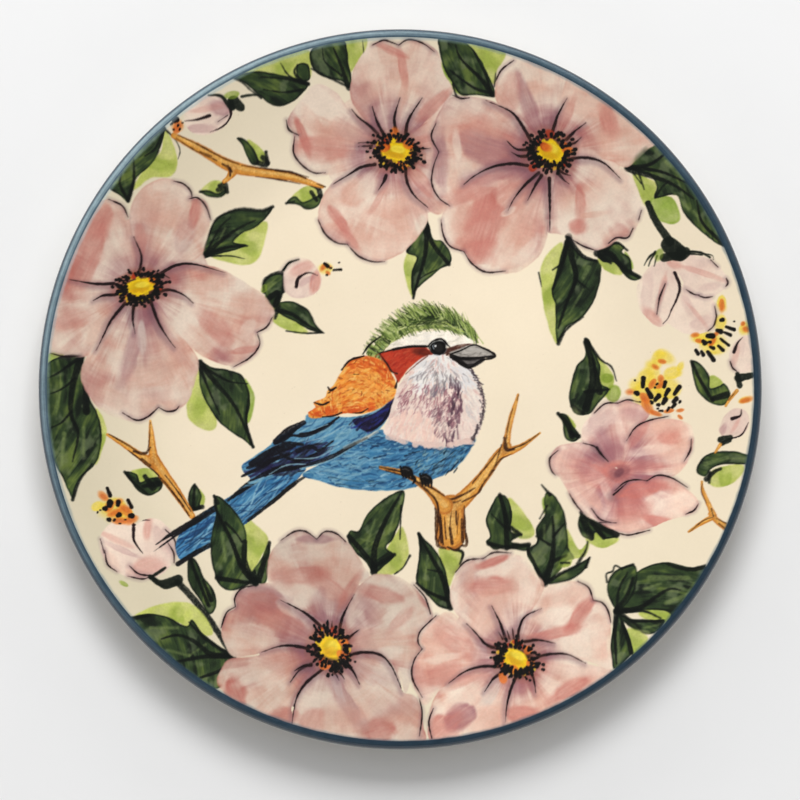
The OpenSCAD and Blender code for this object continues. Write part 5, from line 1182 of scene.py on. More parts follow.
    # Shoulder: orange over yellow, redder at its edges
    field(SHOULDER, rgb(238, 160, 70), SHOULDER_PIECE, 31)
    plumage(
        SHOULDER_PIECE,
        [(SHOULDER, 30, [(246, 184, 84), (232, 140, 46), (246, 196, 110), (220, 112, 34)], 300, 2.6, 0.9,
          33, 0.6),
         ([(-18, 9), (-13, 12), (-7, 10.6), (-3, 6), (-2, 0), (-6, 4), (-10, 8), (-15, 7)], -30,
          [(206, 88, 28), (222, 106, 38)], 90, 2.4, 0.9, 34, 0.7),
         ([(-33, -9), (-24, -9.6), (-14, -8.4), (-6, -5.6), (-10, -5), (-18, -6.4), (-28, -6)], 10,
          [(206, 80, 26), (226, 116, 40)], 90, 2.6, 0.9, 35, 0.7),
         (SHOULDER, lambda x, y: 60 - 8 * x,
          [(196, 84, 30), (252, 212, 132), (210, 100, 36), (248, 196, 104)], 190, 1.5, 0.5, 36, 0.7),
         (SHOULDER, lambda x, y: 20 + 9 * x, [(122, 52, 22), (158, 70, 28)], 34, 1.3, 0.28, 37, 0.7)])
    for points, width in (
        ([(-21, 7), (-18, 10.4), (-13, 12)], .9), ([(-26, .8), (-25, -.4), (-23, .6)], 1),
        ([(-31, -4.8), (-28, -5.6), (-25.6, -4.6)], .9), ([(-16.6, 5.4), (-14.8, 5.4)], .5),
        ([(-26, -1.4), (-25.4, -1.2)], .6), ([(-28, -10), (-24, -9.6), (-21, -8.4)], .7),
        ([(-17, -8.6), (-14, -8.4), (-11.6, -7)], .5)):
        stroke(points, [width * .5, width, width * .6], rgb(30, 18, 14), 0.9, SHOULDER_PIECE, seed=4)

    # Breast: white above, pink below, with mauve hatching and a dark column
    field(BREAST, rgb(238, 218, 206), BREAST_PIECE, 41)
    down = lambda x, y: np.degrees(np.arctan2(y - 14, x - 15 + 0.001)) + 8 * np.sin(x)
    plumage(
        BREAST_PIECE,
        [(BREAST, down, [(244, 228, 218), (222, 184, 176), (238, 210, 198)], 320, 3.4, 0.6, 43, 0.65),
         ([(24, 6), (28, 1), (29.6, -6), (28, -14), (25, -18), (24, -10)], down,
          [(246, 236, 224), (238, 222, 210), (214, 204, 200)], 90, 3.4, 0.7, 52, 0.7),
         ([(3, 6), (10, 12), (20, 11), (28, 4), (24, 0), (14, 2), (7, -2)], down,
          [(246, 240, 232), (232, 228, 226)], 220, 4, 0.9, 44, 0.8),
         ([(1, 1), (14, 1), (22, -4), (20, -14), (10, -10), (0, -9)], down,
          [(170, 118, 126), (196, 146, 148), (142, 92, 104)], 230, 2.2, 0.42, 45, 0.7),
         ([(-4, -10), (6, -9), (14, -16), (10, -19.6), (0, -17)], down,
          [(246, 220, 204), (240, 204, 190)], 130, 3, 0.9, 46, 0.7),
         ([(18, 4), (21, 4), (22.6, -6), (20, -19), (16, -19), (18, -8)], 84,
          [(92, 62, 80), (70, 46, 62), (120, 84, 98)], 60, 3, 0.7, 47, 0.75),
         ([(13, -4), (19, -3), (19, -18), (12, -15)], 60, [(120, 88, 100), (140, 100, 110)], 60, 2.4, 0.5,
          48, 0.6),
         ([(10, 1), (16, 2), (15, -2), (10, -2)], 70, [(126, 118, 128)], 24, 2.6, 0.6, 49, 0.6),
         ([(3, 4), (9, 9), (16, 7), (24, 4), (20, 1), (9, 2)], down,
          [(126, 118, 120), (248, 244, 240), (176, 168, 170)], 90, 3.2, 0.4, 51, 0.7),
         ([(8, 10), (20, 11), (18, 6), (10, 5)], down, [(176, 168, 166), (222, 170, 160)], 34, 2.4, 0.35,
          50, 0.6)])
    rng = np.random.default_rng(8)
    breast_edge = curve([(25.4, 7.6), (28.6, 2.4), (30.1, -4), (29.5, -11), (27.6, -16), (25.6, -19.4)])
    for t in np.linspace(0, 1, 100):
        x, y = breast_edge[int(t * (len(breast_edge) - 1))]
        x += rng.uniform(-2.0, 0.3) * rng.uniform()
        way = np.radians(-20 - 106 * t + rng.normal(0, 14))
        l = rng.uniform(0.8, 2.0)
        stroke(
            [(x, y), (x + l * np.cos(way), y + l * np.sin(way))], [.5, .2], rgb(74, 62, 68), 0.7,
            BREAST_PIECE)
    for t in np.sort(rng.uniform(0, 1, 22)):
        x = -4 + 30 * t
        y = -17.4 - 3.6 * np.sin(np.pi * (0.12 + 0.75 * t)) + 1.0 * (1 - t) + rng.normal(0, 0.25)
        l = rng.uniform(0.3, 1.1)
        dab(x, y + 0.3, rng.uniform(2.4, 4.0), rng.uniform(1.6, 2.6), rng.uniform(-30, 20),
            rgb(232, 204, 192), 0.9, None, 0.25, int(40 * t), BREAST_PIECE, 0.3)
        stroke(
            [(x - 1.2, y - 0.9), (x, y - 1.2 - .3 * l), (x + 1.2, y - 0.8)], [.3, .5, .3],
            rgb(40, 84, 120), 0.6, BELLY_PIECE, seed=int(40 * t))

    # Head: hatched crest, white brow, red cheek, eye and beak
    field(CREST, rgb(176, 186, 112), HEAD_PIECE, 51)
    comb = lambda x, y: 205 - 3.2 * (x - 4)
    plumage(
        HEAD_PIECE,
        [(CREST, comb, [(190, 198, 126), (120, 138, 62), (78, 98, 44), (206, 210, 156)], 400, 3.8, 0.55,
          53, 0.75), (CREST, comb, [(44, 58, 26), (60, 78, 34)], 120, 3.0, 0.32, 57, 0.8),
         ([(2, 27), (16, 28), (23, 22), (12, 22), (0, 21)], comb, [(52, 72, 34), (70, 92, 42)], 90, 3.6,
          0.5, 54, 0.7),
         ([(20, 27), (27, 20), (24, 19), (18, 24)], 130, [(112, 142, 112), (84, 110, 84)], 40, 3, 0.5, 55,
          0.6),
         ([(-8, 14), (0, 16), (-3, 10), (-8, 11)], comb, [(84, 126, 120), (110, 146, 130)], 34, 3, 0.6,
          56, 0.6),
         ([(-5, 14), (4, 20.6), (14, 22.2), (24, 19), (24.6, 21), (14, 24.6), (3, 23.4), (-6, 17)], comb,
          [(212, 218, 146), (190, 202, 112), (226, 226, 176)], 110, 3.2, 0.5, 58, 0.75),
         ([(0, 23.6), (8, 26.6), (16, 26.6), (22, 23), (16, 23.4), (6, 23)], comb,
          [(34, 46, 22), (50, 66, 30)], 90, 3.0, 0.42, 59, 0.75)])
    crest_edge = curve(
        [(-11, 15), (-8, 19.6), (-4.6, 23.6), (0, 27.6), (5, 30.2), (10, 30.6), (15, 29.8), (20, 27.8),
         (24.4, 24.4), (27, 20)])
    fringe = [rgb(92, 112, 54), rgb(158, 176, 92), rgb(34, 44, 24), rgb(190, 200, 132), rgb(128, 148, 76)]
    for t in np.linspace(0, 1, 330):
        x, y = crest_edge[int(t * (len(crest_edge) - 1))]
        a = np.radians(142 - 1.1 * x + rng.normal(0, 12))
        x, y = x + rng.normal(0, 0.6), y - rng.uniform(0, 2.4)
        l = rng.uniform(2.0, 4.6)
        u, v = np.cos(a), np.sin(a)
        stroke([(x - .9 * l * u, y - .9 * l * v), (x + l * .55 * u, y + .55 * l * v)], [.42, .38, .1],
               fringe[rng.integers(5)], 0.85, HEAD_PIECE, seed=int(99 * t))
    stroke([(-13.4, 12.6), (-11, 16), (-7, 19)], [.5, .9, .4], rgb(26, 28, 20), 0.9, HEAD_PIECE)
    field(BROW, rgb(252, 243, 228), HEAD_PIECE, 61)
    dashes = [rgb(96, 116, 56), rgb(158, 172, 98), rgb(58, 74, 36)]
    for t in rng.uniform(0, 1, 60):
        x = -3 + 28 * t
        y = 16.4 + 5.0 * np.sin(np.pi * (0.08 + 0.80 * t))
        stroke(
            [(x - 1.2, y + 1.6), (x + 0.4, y - rng.uniform(-0.3, 1.1))], [.6, .2],
            dashes[int(3 * rng.uniform())], 0.75, HEAD_PIECE)
    feathers(BROW, 10, [rgb(246, 240, 230), rgb(206, 200, 180)], 40, 3, 0.4, HEAD_PIECE, 62, 0.5)
    field(CHEEK, rgb(186, 58, 32), HEAD_PIECE, 63)
    feathers(
        CHEEK, 30, [rgb(206, 76, 44), rgb(168, 44, 26), rgb(196, 92, 60)], 70, 3, 0.6, HEAD_PIECE, 64,
        0.6)
    dab(8, 13.4, 6, 2.4, -10, rgb(60, 26, 18), 0.8, [HEAD_PIECE], .5, 4)
    stroke(
        [(-7.4, 13), (-2, 14.4), (4, 15.4), (11, 15.4)], [.5, .9, 1.0, .8], BLACK, 0.95, HEAD_PIECE,
        lift=.04)
    stroke(
        [(-7.2, 12.6), (-4.6, 9), (-3, 6.4), (-1, 5.6)], [.4, .6, .8, .4], rgb(40, 20, 16), 0.85,
        HEAD_PIECE)
    stroke([(-1, 3), (-1.6, .6)], [.4, 1], rgb(30, 16, 14), 0.8, SHOULDER_PIECE)
    stroke([(2, 5.4), (6, 9), (10, 12)], [.3, .5, .4], rgb(90, 34, 24), 0.7, HEAD_PIECE)
    feathers(
        [(16, 14), (25, 16.4), (25.6, 15.4), (18, 12.4)], 15,
        [rgb(84, 44, 34), rgb(60, 34, 28), rgb(130, 84, 66)], 46, 1.6, 0.6, HEAD_PIECE, 66, 0.85,
        only=[HEAD_PIECE, BREAST_PIECE, CREAM])
    stroke([(17, 13.8), (21, 15), (25.2, 16)], [2.0, 2.0, 1.2], rgb(84, 46, 36), 0.85, HEAD_PIECE, dry=.35)
    field(BEAK_TOP, rgb(178, 172, 164), HEAD_PIECE, 71)
    field(BEAK_LOW, rgb(40, 36, 36), HEAD_PIECE, 72)
    feathers(
        BEAK_TOP, 8, [rgb(206, 200, 190), rgb(150, 144, 138), rgb(104, 98, 94)], 40, 2.4, 0.35,
        HEAD_PIECE, 73, 0.7)
    stroke(
        [(21.6, 10.4), (25, 9.6), (28.6, 10.4)], [.6, 1.3, .5], rgb(134, 128, 124), 0.8, HEAD_PIECE,
        dry=.3)
    stroke(
        [(18, 12.6), (22, 14), (26.4, 16), (30, 14.8), (34, 12.6), (33.4, 11.2), (29, 10.4), (25, 7.8),
         (22, 9), (19.6, 11)], [.4, .45, .5, .6, .9, .6, .5, .7, .9, .9], BLACK, 0.92, HEAD_PIECE,
        lift=.04)
    stroke(
        [(18.6, 11.8), (23, 11), (28, 11.4), (33.4, 11.8)], [1.6, .8, .5, .7], BLACK, 0.92, HEAD_PIECE,
        lift=.04)
    stroke([(19.4, 11), (22, 9.8), (24, 8.6)], [1.4, 1.7, .8], BLACK, 0.9, HEAD_PIECE, dry=.2)
    stroke([(22.6, 13), (27, 14.4), (30, 13.4)], [.8, 1.4, .6], rgb(196, 190, 182), 0.6, HEAD_PIECE)
    dab(13.8, 15.2, 6.6, 5.6, 0, rgb(120, 132, 140), 0.6, None, 0.15, 3, HEAD_PIECE, 0.1)
    dab(13.9, 15.1, 5.6, 5.0, 0, BLACK, 1.0, None, 0.08, 3, HEAD_PIECE, 0.0, 0.06)
    stroke(
        [(10, 15.4), (12, 17.4), (15, 18), (17, 16.2), (18, 15.2)], [.4, .7, .7, .8, .4], BLACK, 0.95,
        HEAD_PIECE)
    stroke([(10.4, 15), (12, 13), (14.4, 12.4)], [.4, .6, .3], BLACK, 0.9, HEAD_PIECE)
    stroke([(12.2, 14.6), (11.8, 15.6), (12.4, 16.2)], [.3, .45, .3], rgb(150, 160, 166), 0.9, HEAD_PIECE)
    dab(12.8, 15.6, .8, .7, 0, rgb(250, 250, 248), 0.95, None, 0.2, 3, HEAD_PIECE, 0, .06)

    # The perch's end lies in front of the belly, and the feet hold it
    twigs([PERCH], 10)
    for points, width in PERCH_LINES:
        stroke(points, [width * .5, width, width * .6], SOIL, 0.9, TWIG, dry=.3, seed=3, lift=.04)
    for x, y in ((2.3, -29.7), (9.3, -32.5)):
        dab(x, y, 4.3, 3.6, -30, rgb(20, 16, 16), 0.96, None, .2, int(x), TWIG, .1, .05)
        for k in range(4):
            u = x - 1.7 + 1.1 * k
            stroke(
                [(u - .5, y + 1.9 - .3 * k), (u + .2, y), (u + .5, y - 2.1 - .2 * k)], [.7, 1.1, .5],
                rgb(20, 16, 14), 0.95, TWIG, lift=.05, seed=k)
        stroke(
            [(x - 1.4, y + .8), (x - .2, y + 1), (x + .9, y + .4)], [.3, .4, .2], rgb(112, 104, 98), 0.7,
            TWIG)
    stroke([(4, -30.4), (5.4, -32.6), (4.6, -34)], [.8, 1.3, .5], rgb(20, 16, 14), 0.95, TWIG, lift=.05)


DEEPER = 1.15       # the power that firing raises a colour's share of white to


def petal(points, centre, pale, tone_of, seed):
    """One petal: radial brush marks over washes, thinner and lighter in places."""
    part, X, Y, depth = inside(points, seed, 0.25)
    if X.size == 0:
        return
    dx, dy = X - centre[0], Y - centre[1]
    out = np.hypot(dx, dy)
    reach = max(12.0, 0.6 * out[depth > 0].max()) if (depth > 0).any() else 12.0
    round_ = np.arctan2(dy, dx) * reach
    broad = rough(round_ / 5.0, out / 20, seed)
    hairs = rough(round_ / 0.9, out / 12, seed + 4)
    arcs = rough(out / 0.9, round_ / 12, seed + 6)
    cloud = rough(X / 10, Y / 10, seed + 7)
    second = ramp(rough(X / 12 + 5, Y / 12, seed + 12) + 0.15 * hairs, -0.12, 0.30)
    pigment = 0.19 + 0.13 * broad + 0.06 * hairs + 0.05 * arcs + 0.30 * cloud + 0.20 * second
    pigment += 0.16 * ramp(depth, 1.0, 0.1) * ramp(rough(X / 7, Y / 7, seed + 2), -0.5, 0.4)
    pigment += 0.26 * ramp(out, 21, 7)
    if pale:
        pigment = pigment * 0.25
    pigment = np.clip(pigment, 0, 1)
    cool = 0.12 + 0.55 * rough(X / 14, Y / 14, seed + 9) + 0.70 * ramp(out, 24, 8) + (0.06 if pale else -0.04)
    everywhere = X.shape + (3,)
    warm = mix(
        np.broadcast_to(SALMON, everywhere), np.broadcast_to(ROSE, everywhere),
        ramp(pigment, 0.45, 0.95))
    tone = mix(warm, np.broadcast_to(MAUVE, everywhere), np.clip(cool, 0, 0.9))
    colour = mix(np.broadcast_to(LIGHT, everywhere), tone, ramp(pigment, -0.05, 0.75))
    fading = 1 - 0.55 * ramp(depth, 2.2, 0.2) * ramp(rough(X / 9, Y / 9, seed + 15), 0.0, 0.5)
    lay(part, colour * tone_of, ramp(depth, -0.3, 0.4) * 0.97 * fading, PETAL, 0.015)


def blossom(b, number):
    """A blossom or bud without its centre: petals, presses, dark rays and edge lines."""
    pale = b.get("pale", False)
    full = b.get("full", 1.0)
    if "core" in b:
        x, y, length, width, angle = b["core"]
        turn = np.linspace(0, 2 * np.pi, 9)[:-1]
        petal(
            [(x + 26 * np.cos(t), y + 25 * np.sin(t)) for t in turn], b["centre"], pale, full,
            40 * number + 37)
    for k, points in enumerate(b["petals"]):
        petal(points, b["centre"], pale, full, 40 * number + 3 * k)
    for k, (x, y, length, width, angle, colour, alpha) in enumerate(b["presses"]):
        dab(x, y, length, width, angle, colour * full, min(1, alpha * 1.05), [PETAL], 0.5, 7 * k + number)
    if not pale and "core" not in b:
        dab(*b["centre"], 7, 4.6, 25, rgb(150, 92, 98), 0.75, [PETAL], 0.6, number)
        dab(*b["centre"], 3.4, 2.2, 40, rgb(112, 66, 78), 0.8, [PETAL], 0.6, number)
    shade = rgb(118, 88, 100)
    for k, ray in enumerate(b["rays"]):
        wide = 1.25 if len(ray) > 2 else 0.8
        if not pale:
            stroke(
                [(px - 0.5, py - 0.6) for px, py in ray], [3.6, 3.0, 1.4], shade, 0.34, only=[PETAL],
                soft=1.1, seed=k, lift=0)
        stroke(ray, [wide, wide * 0.85, 0.5, 0.14], INK, 0.95, only=[PETAL], seed=k)
    for k, edge in enumerate(b["edges"]):
        stroke(edge, [1.8, 2.2, 1.6], shade, 0.24, soft=0.9, seed=k, lift=0)
        stroke(edge, [0.2, 0.6, 0.62, 0.22], INK, 0.9, seed=k + 9)


def blossom_centre(b, rng):
    """The yellow centre of an open blossom, on a dark ground, in rings of small dark dots."""
    x, y, length, width, angle = b["core"]
    c, s = np.cos(np.radians(angle)), np.sin(np.radians(angle))

    def at(ring, a):
        """A place at an angle on an oval round the centre."""
        u, v = ring * (length / 2 + 0.4) * np.cos(a), ring * (width / 2 + 0.8) * np.sin(a)
        return x + u * c - v * s, y + u * s + v * c

    dab(x, y, length + 8, width + 7, angle, rgb(160, 92, 66), 0.6, [PETAL], 0.5, 3)
    dab(x, y - 0.7, length + 3.6, width + 3.4, angle, rgb(44, 22, 14), 0.92, None, 0.3, 4, CENTRE)
    for k in range(22):
        px, py = at(rng.uniform(1.0, 1.45), rng.uniform(0, 2 * np.pi))
        dab(px, py, rng.uniform(1.2, 2.4), rng.uniform(0.9, 1.5), rng.uniform(0, 180),
            (rgb(214, 104, 34), rgb(186, 60, 26), rgb(232, 186, 40))[k % 3], 0.9, None, 0.3, k, CENTRE, 0.2)
    dab(x, y, length + 0.4, width + 0.4, angle, YELLOW, 1.0, None, 0.14, 5 + int(10 * abs(x)), CENTRE,
        0.10, 0.05)
    for k in range(7):
        px, py = at(rng.uniform(0.75, 1.05), rng.uniform(0, 2 * np.pi))
        dab(px, py, rng.uniform(1.4, 2.6), rng.uniform(1.0, 1.8), rng.uniform(0, 180), YELLOW, 0.95, None,
            0.2, k, CENTRE, 0.1)
    dab(x + 0.8, y + 0.9, length * 0.5, width * 0.4, angle, rgb(250, 232, 96), 0.8, None, 0.5, 6, CENTRE, 0.2)
    dab(x - 0.5, y - 1.2, length * 0.7, width * 0.3, angle, rgb(224, 160, 10), 0.5, None, 0.5, 6, CENTRE, 0.3)
    for k in range(9):
        px, py = at(rng.uniform(1.15, 1.5), rng.uniform(np.pi, 2.1 * np.pi))
        dab(px, py, rng.uniform(1.0, 2.0), rng.uniform(0.8, 1.2), rng.uniform(0, 180), rgb(232, 196, 60),
            0.9, None, 0.2, k, CENTRE, 0.1)
    for (sx, sy, colour) in b["spots"]:
        dab(sx, sy, 3.8, 2.8, rng.uniform(0, 180), colour, 0.97, None, 0.3, 8, CENTRE, 0.2, 0.04)
    for ring, count, long, keep in (
        (0.90, 24, 0.5, 0.42), (1.10, 38, 0.8, 0.92), (1.30, 38, 1.0, 0.86), (1.56, 34, 0.8, 0.66),
        (1.86, 20, 0.4, 0.5)):
        for k in range(count):
            a = 2 * np.pi * (k + rng.uniform(-0.4, 0.4)) / count
            lower = 0.5 - 0.5 * np.sin(a)
            if rng.uniform() > keep * (0.72 + 0.35 * lower):
                continue
            px, py = at(ring * rng.uniform(0.95, 1.07), a)
            way = np.arctan2(py - y, px - x) + rng.normal(0, 0.15)
            l = long * rng.uniform(0.3, 1.3)
            w = rng.uniform(0.8, 1.5)
            stroke([(px, py), (px + l * np.cos(way), py + l * np.sin(way))], [w * 0.8, w], BLACK, 0.97,
                   CENTRE, soft=0.16, seed=k, lift=0.05)


def leaf(l, number):
    """A leaf: light washes beside it, its dark body, lighter streaks in it, and dark lines."""
    if "wash" in l:
        wash(l["wash"], LIME, 0.88, LEAF, [CREAM, LEAF], 0.5, number, 0.12)
        m = np.mean(l["wash"], 0)
        dab(m[0], m[1], 10, 5, 60 + 37 * number, FRESH, 0.6, [LEAF], 0.6, number)
        dab(m[0] + 2, m[1] + 3, 6, 3, 20 + 51 * number, rgb(222, 218, 150), 0.5, [LEAF], 0.6, number + 1)
    if "second" in l:
        wash(l["second"], rgb(158, 178, 84), 0.88, LEAF, [CREAM, LEAF, PETAL], 0.4, number, 0.15)
    for (x, y, rx, ry) in l.get("buds", []):
        dab(x, y, 2 * rx, 2 * ry, 90, FRESH, 0.9, None, 0.2, number, LEAF)
    for points in [l["body"]] + l.get("extra", []):
        part, X, Y, depth = inside(points, number, 0.22)
        if X.size == 0:
            continue
        p = np.array(points, float)
        far = np.linalg.norm(p - p[0], axis=1).argmax()
        way = np.arctan2(*(p[far] - p[0])[::-1])
        c, s = np.cos(way), np.sin(way)
        u, v = (X - p[0][0]) * c + (Y - p[0][1]) * s, (Y - p[0][1]) * c - (X - p[0][0]) * s
        bend = v + 0.015 * u * u
        tone = (0.50 + 0.40 * rough(u / 9, bend / 2.6, 5 * number)
                + 0.14 * rough(u / 7, bend / 0.6, number + 2) + 0.36 * rough(X / 6, Y / 6, number + 8))
        tone = np.clip(tone - 0.42 * ramp(depth, 0.9, 0.15), 0, 1)
        everywhere = X.shape + (3,)
        body = mix(
            np.broadcast_to(DARK, everywhere), np.broadcast_to(GREEN, everywhere), ramp(tone, 0.1, 0.5))
        body = mix(body, np.broadcast_to(OLIVE, everywhere), ramp(tone, 0.45, 1.0))
        misty = ramp(rough(X / 5, Y / 5, number + 30) + 0.4 * tone, 0.35, 0.8) * ramp(depth, 0.4, 1.4)
        body = mix(body, np.broadcast_to(rgb(118, 128, 96), everywhere), 0.6 * misty)
        lay(part, body, ramp(depth, -0.22, 0.25) * 0.97, LEAF, 0.03)
    for k, (points, width) in enumerate(l.get("lights", [])):
        stroke(
            points, [width * 0.5, width * 1.2, width * 0.4], rgb(134, 148, 92), 0.6, only=[LEAF],
            soft=0.5, dry=0.3, seed=k + number)
    for k, (points, w0, w1) in enumerate(l["lines"]):
        w0, w1 = 0.82 * w0, 0.85 * w1
        stroke(
            points, [w0, 0.5 * (w0 + w1), w1], rgb(12, 18, 14), 0.88, LEAF, soft=0.32, dry=0.2,
            seed=3 * k + number, lift=0.04)


def spray(s):
    """Stamens that stand apart from a centre."""
    for k, (x, y, length, width, angle) in enumerate(s["yellow"]):
        dab(x, y, length * 1.1, width * 1.1, angle, rgb(240, 212, 64), 0.85, [CREAM, CENTRE], 0.5, k,
            CENTRE, 0.3)
    for k, (x, y, length, width, angle) in enumerate(s["orange"]):
        dab(x, y, length, width, angle, rgb(226, 128, 50), 0.9, None, 0.35, k, CENTRE, 0.2, 0.03)
        dab(x, y, length * .6, width * .5, angle, rgb(196, 84, 34), 0.45, None, 0.35, k + 4, CENTRE, 0.2,
            0.03)
    for k, (x, y, length, width, angle) in enumerate(s["black"]):
        a = np.radians(angle)
        u, v = np.cos(a) * (length - width) / 2, np.sin(a) * (length - width) / 2
        stroke(
            [(x - u, y - v), (x + u, y + v)], [width * 0.75, width], BLACK, 0.97, CENTRE, soft=0.15,
            seed=k, lift=0.05)


def twigs(several, number):
    """Twigs, laid coat by coat, so that those that meet run together."""
    for part, grow, wider, colour, alpha, soft, dry in (
        (0, 1, 0.3, rgb(206, 134, 52), 0.95, 0.2, 0), (2, 0.8, 0, OCHRE, 0.95, 0.35, 0),
        (3, 0.36, 0, rgb(250, 212, 136), 0.8, 0.35, 0.35), (5, 1, 0.1, rgb(150, 84, 26), 0.24, 0.3, 0.8),
    ):
        for k, (points, widths) in enumerate(several):
            way = [(x + 0.15, y + 0.25) for x, y in points] if part == 3 else points
            stroke(way, [w * grow + wider for w in widths], colour, alpha, TWIG, soft=soft, dry=dry,
                   seed=number + k + part, lift=0.03 if part == 0 else 0.02)


def ground():
    """The cream glaze: uneven and specked, with painted shade on the flank toward the lower left and painted
    light a little right of and above the middle.
    """
    X, Y = np.meshgrid(AXIS, AXIS)
    warm = rough(X / 60, Y / 60, 2) * 1.6 + rough(X / 9, Y / 9, 3) * 0.8
    picture[:] = GROUND
    picture[:] += warm[..., None] * rgb(1.0, 1.1, 1.5)
    # Painted shade: the flank is darker toward the lower left, the side that turns away from the light
    painted_flank_shade = ramp(np.hypot(X, Y), 70, 122) * (0.5 - 0.5 * np.cos(np.arctan2(Y, X) - np.radians(30)))
    picture[:] *= 1 - painted_flank_shade[..., None] * rgb(0.10, 0.09, 0.10)
    # Painted light: a patch right of and above the middle is a little lighter
    picture[:] *= 1 + (0.020 * ramp(np.hypot(X - 40, Y - 28), 38, 8))[..., None]
    speck = grain(X / 0.45, Y / 0.45, 21)
    near = grain(X / 8, Y / 8, 25)
    picture[:] -= (ramp(speck, 0.93, 0.99) * ramp(near, 0.2, 0.8))[..., None] * rgb(70, 80, 80)


# The painting, from the back to the front
ground()
for n, l in enumerate(LEAVES):
    if "front" not in l:
        leaf(l, n)
for n, b in enumerate(BLOSSOMS + SIDES):
    blossom(b, n)
dots = np.random.default_rng(12)
for b in BLOSSOMS:
    blossom_centre(b, dots)
for n, (points, w0, w1) in enumerate(STEMS):
    stroke(points, [w0, w1], rgb(18, 26, 18), 0.93, LEAF, soft=.22, dry=.1, seed=n, lift=.04)
for n, (x, y, length, width, angle) in enumerate(GREEN_LIGHTS):
    dab(x, y, length, width, angle, FRESH, 0.85, None, 0.3, n, LEAF)
twigs(TWIGS, 0)
for n, (points, width) in enumerate(BARK_LINES):
    stroke(points, [width * .5, width, width * .5], SOIL, 0.85, TWIG, dry=.35, seed=n, lift=.04)
for s in STAMENS:
    spray(s)
bird()
for n, l in enumerate(LEAVES):
    if "front" in l:
        leaf(l, n)
# Colours fire deeper than they are laid
picture[:] = 255 * (np.clip(picture, 0, 255) / 255) ** DEEPER


# -- Sizes, from the CAD part ------------------------------------------------------------------

MM = 0.001
face_low, face_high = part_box("face_glaze")
_, band_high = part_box("rim_band")
recess_low, recess_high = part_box("foot_recess_glaze")
_, back_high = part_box("back_glaze")

GLAZE = 0.0004      # thickness of a glaze, as in the CAD part
FOOT_HEIGHT = recess_low.z
FACE_Z = face_low.z + GLAZE
WALL = FACE_Z - FOOT_HEIGHT
PLATE_R = band_high.x
BAND_R = face_high.x
LIP_R = PLATE_R - WALL / 2
LIP_Z = band_high.z - WALL / 2
WELL_R = 0.072      # radius of the flat well
TURN = 0.065        # radius of the turn from the well to the flank
FLANK = 0.3292      # radius of the flank's own slight curve
JOIN = math.sqrt((FLANK - TURN) ** 2 - WELL_R ** 2)       # height between the two centres


def face_height(r, depth=0.0):
    """Height of the surface that lies depth under the face, at radius r."""
    turn, flank = TURN + depth, FLANK + depth
    join = WELL_R * flank / (FLANK - TURN)
    along = np.clip(r - WELL_R, 0, join - WELL_R)
    curved = FACE_Z + TURN - np.sqrt(turn ** 2 - along ** 2)
    return np.where(r > join, FACE_Z + TURN + JOIN - np.sqrt(flank ** 2 - r ** 2), curved)


# -- Making meshes -----------------------------------------------------------------------------

def linear(srgb):
    """8-bit sRGB as the linear values that a colour attribute holds."""
    c = np.clip(srgb, 0, 255) / 255
    return np.where(c < 0.04045, c / 12.92, ((c + 0.055) / 1.055) ** 2.4)


def make_piece(name, points, quads, colours, normals=None, triangles=None):
    """A mesh object with a colour at each point, and smooth shading."""
    mesh = bpy.data.meshes.new(name)
    mesh.vertices.add(len(points))
    mesh.vertices.foreach_set("co", points.astype(np.float32).ravel())
    loops = quads.ravel()
    starts = np.arange(len(quads)) * 4
    if triangles is not None:
        starts = np.concatenate([starts, len(loops) + np.arange(len(triangles)) * 3])
        loops = np.concatenate([loops, triangles.ravel()])
    mesh.loops.add(len(loops))
    mesh.loops.foreach_set("vertex_index", loops.astype(np.int32))
    mesh.polygons.add(len(starts))
    mesh.polygons.foreach_set("loop_start", starts.astype(np.int32))
    mesh.update(calc_edges=True)
    mesh.validate()
    layer = mesh.attributes.new("paint", "FLOAT_COLOR", "POINT")
    flat = np.ones((len(points), 4), np.float32)
    flat[:, :3] = linear(colours)
    layer.data.foreach_set("color", flat.ravel())
    mesh.shade_smooth()
    if normals is not None:
        mesh.normals_split_custom_set_from_vertices(normals.astype(np.float32))
    piece = bpy.data.objects.new(name, mesh)
    bpy.context.scene.collection.objects.link(piece)
    return piece


def add_to_part(piece, slot, material, *nodes):
    """Gives a piece its look and its place on the root body, and hides the CAD nodes it stands for."""
    piece.data.materials.append(material)
    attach(piece, "root")
    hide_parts(*nodes)


def turned(name, profile, steps, colour):
    """A closed ring, or a lens where the profile starts and ends on the axis."""
    profile = np.array(profile)
    ring = profile[profile[:, 0] > 1e-6]
    around = np.linspace(0, 2 * math.pi, steps, endpoint=False)
    r, z = ring[:, 0, None], ring[:, 1, None]
    points = np.stack([r * np.cos(around), r * np.sin(around), z + 0 * around], 2)
    n = len(ring)
    index = np.arange(n * steps).reshape(n, steps)
    after = np.roll(index, -1, 1)
    closed = len(ring) == len(profile)
    rows = range(n if closed else n - 1)
    quads = np.concatenate([np.stack([index[i], after[i], after[(i + 1) % n], index[(i + 1) % n]], 1)
                            for i in rows])
    points = points.reshape(-1, 3)
    triangles = None
    if not closed:
        first, last = len(points), len(points) + 1
        points = np.vstack([points, [[0, 0, profile[0, 1]]], [[0, 0, profile[-1, 1]]]])
        one = np.full(steps, first)
        two = np.full(steps, last)
        triangles = np.concatenate([np.stack([one, after[0], index[0]], 1),
                                    np.stack([two, index[-1], after[-1]], 1)])
    return make_piece(name, points, quads, colour(points), None, triangles)


# -- Materials ---------------------------------------------------------------------------------

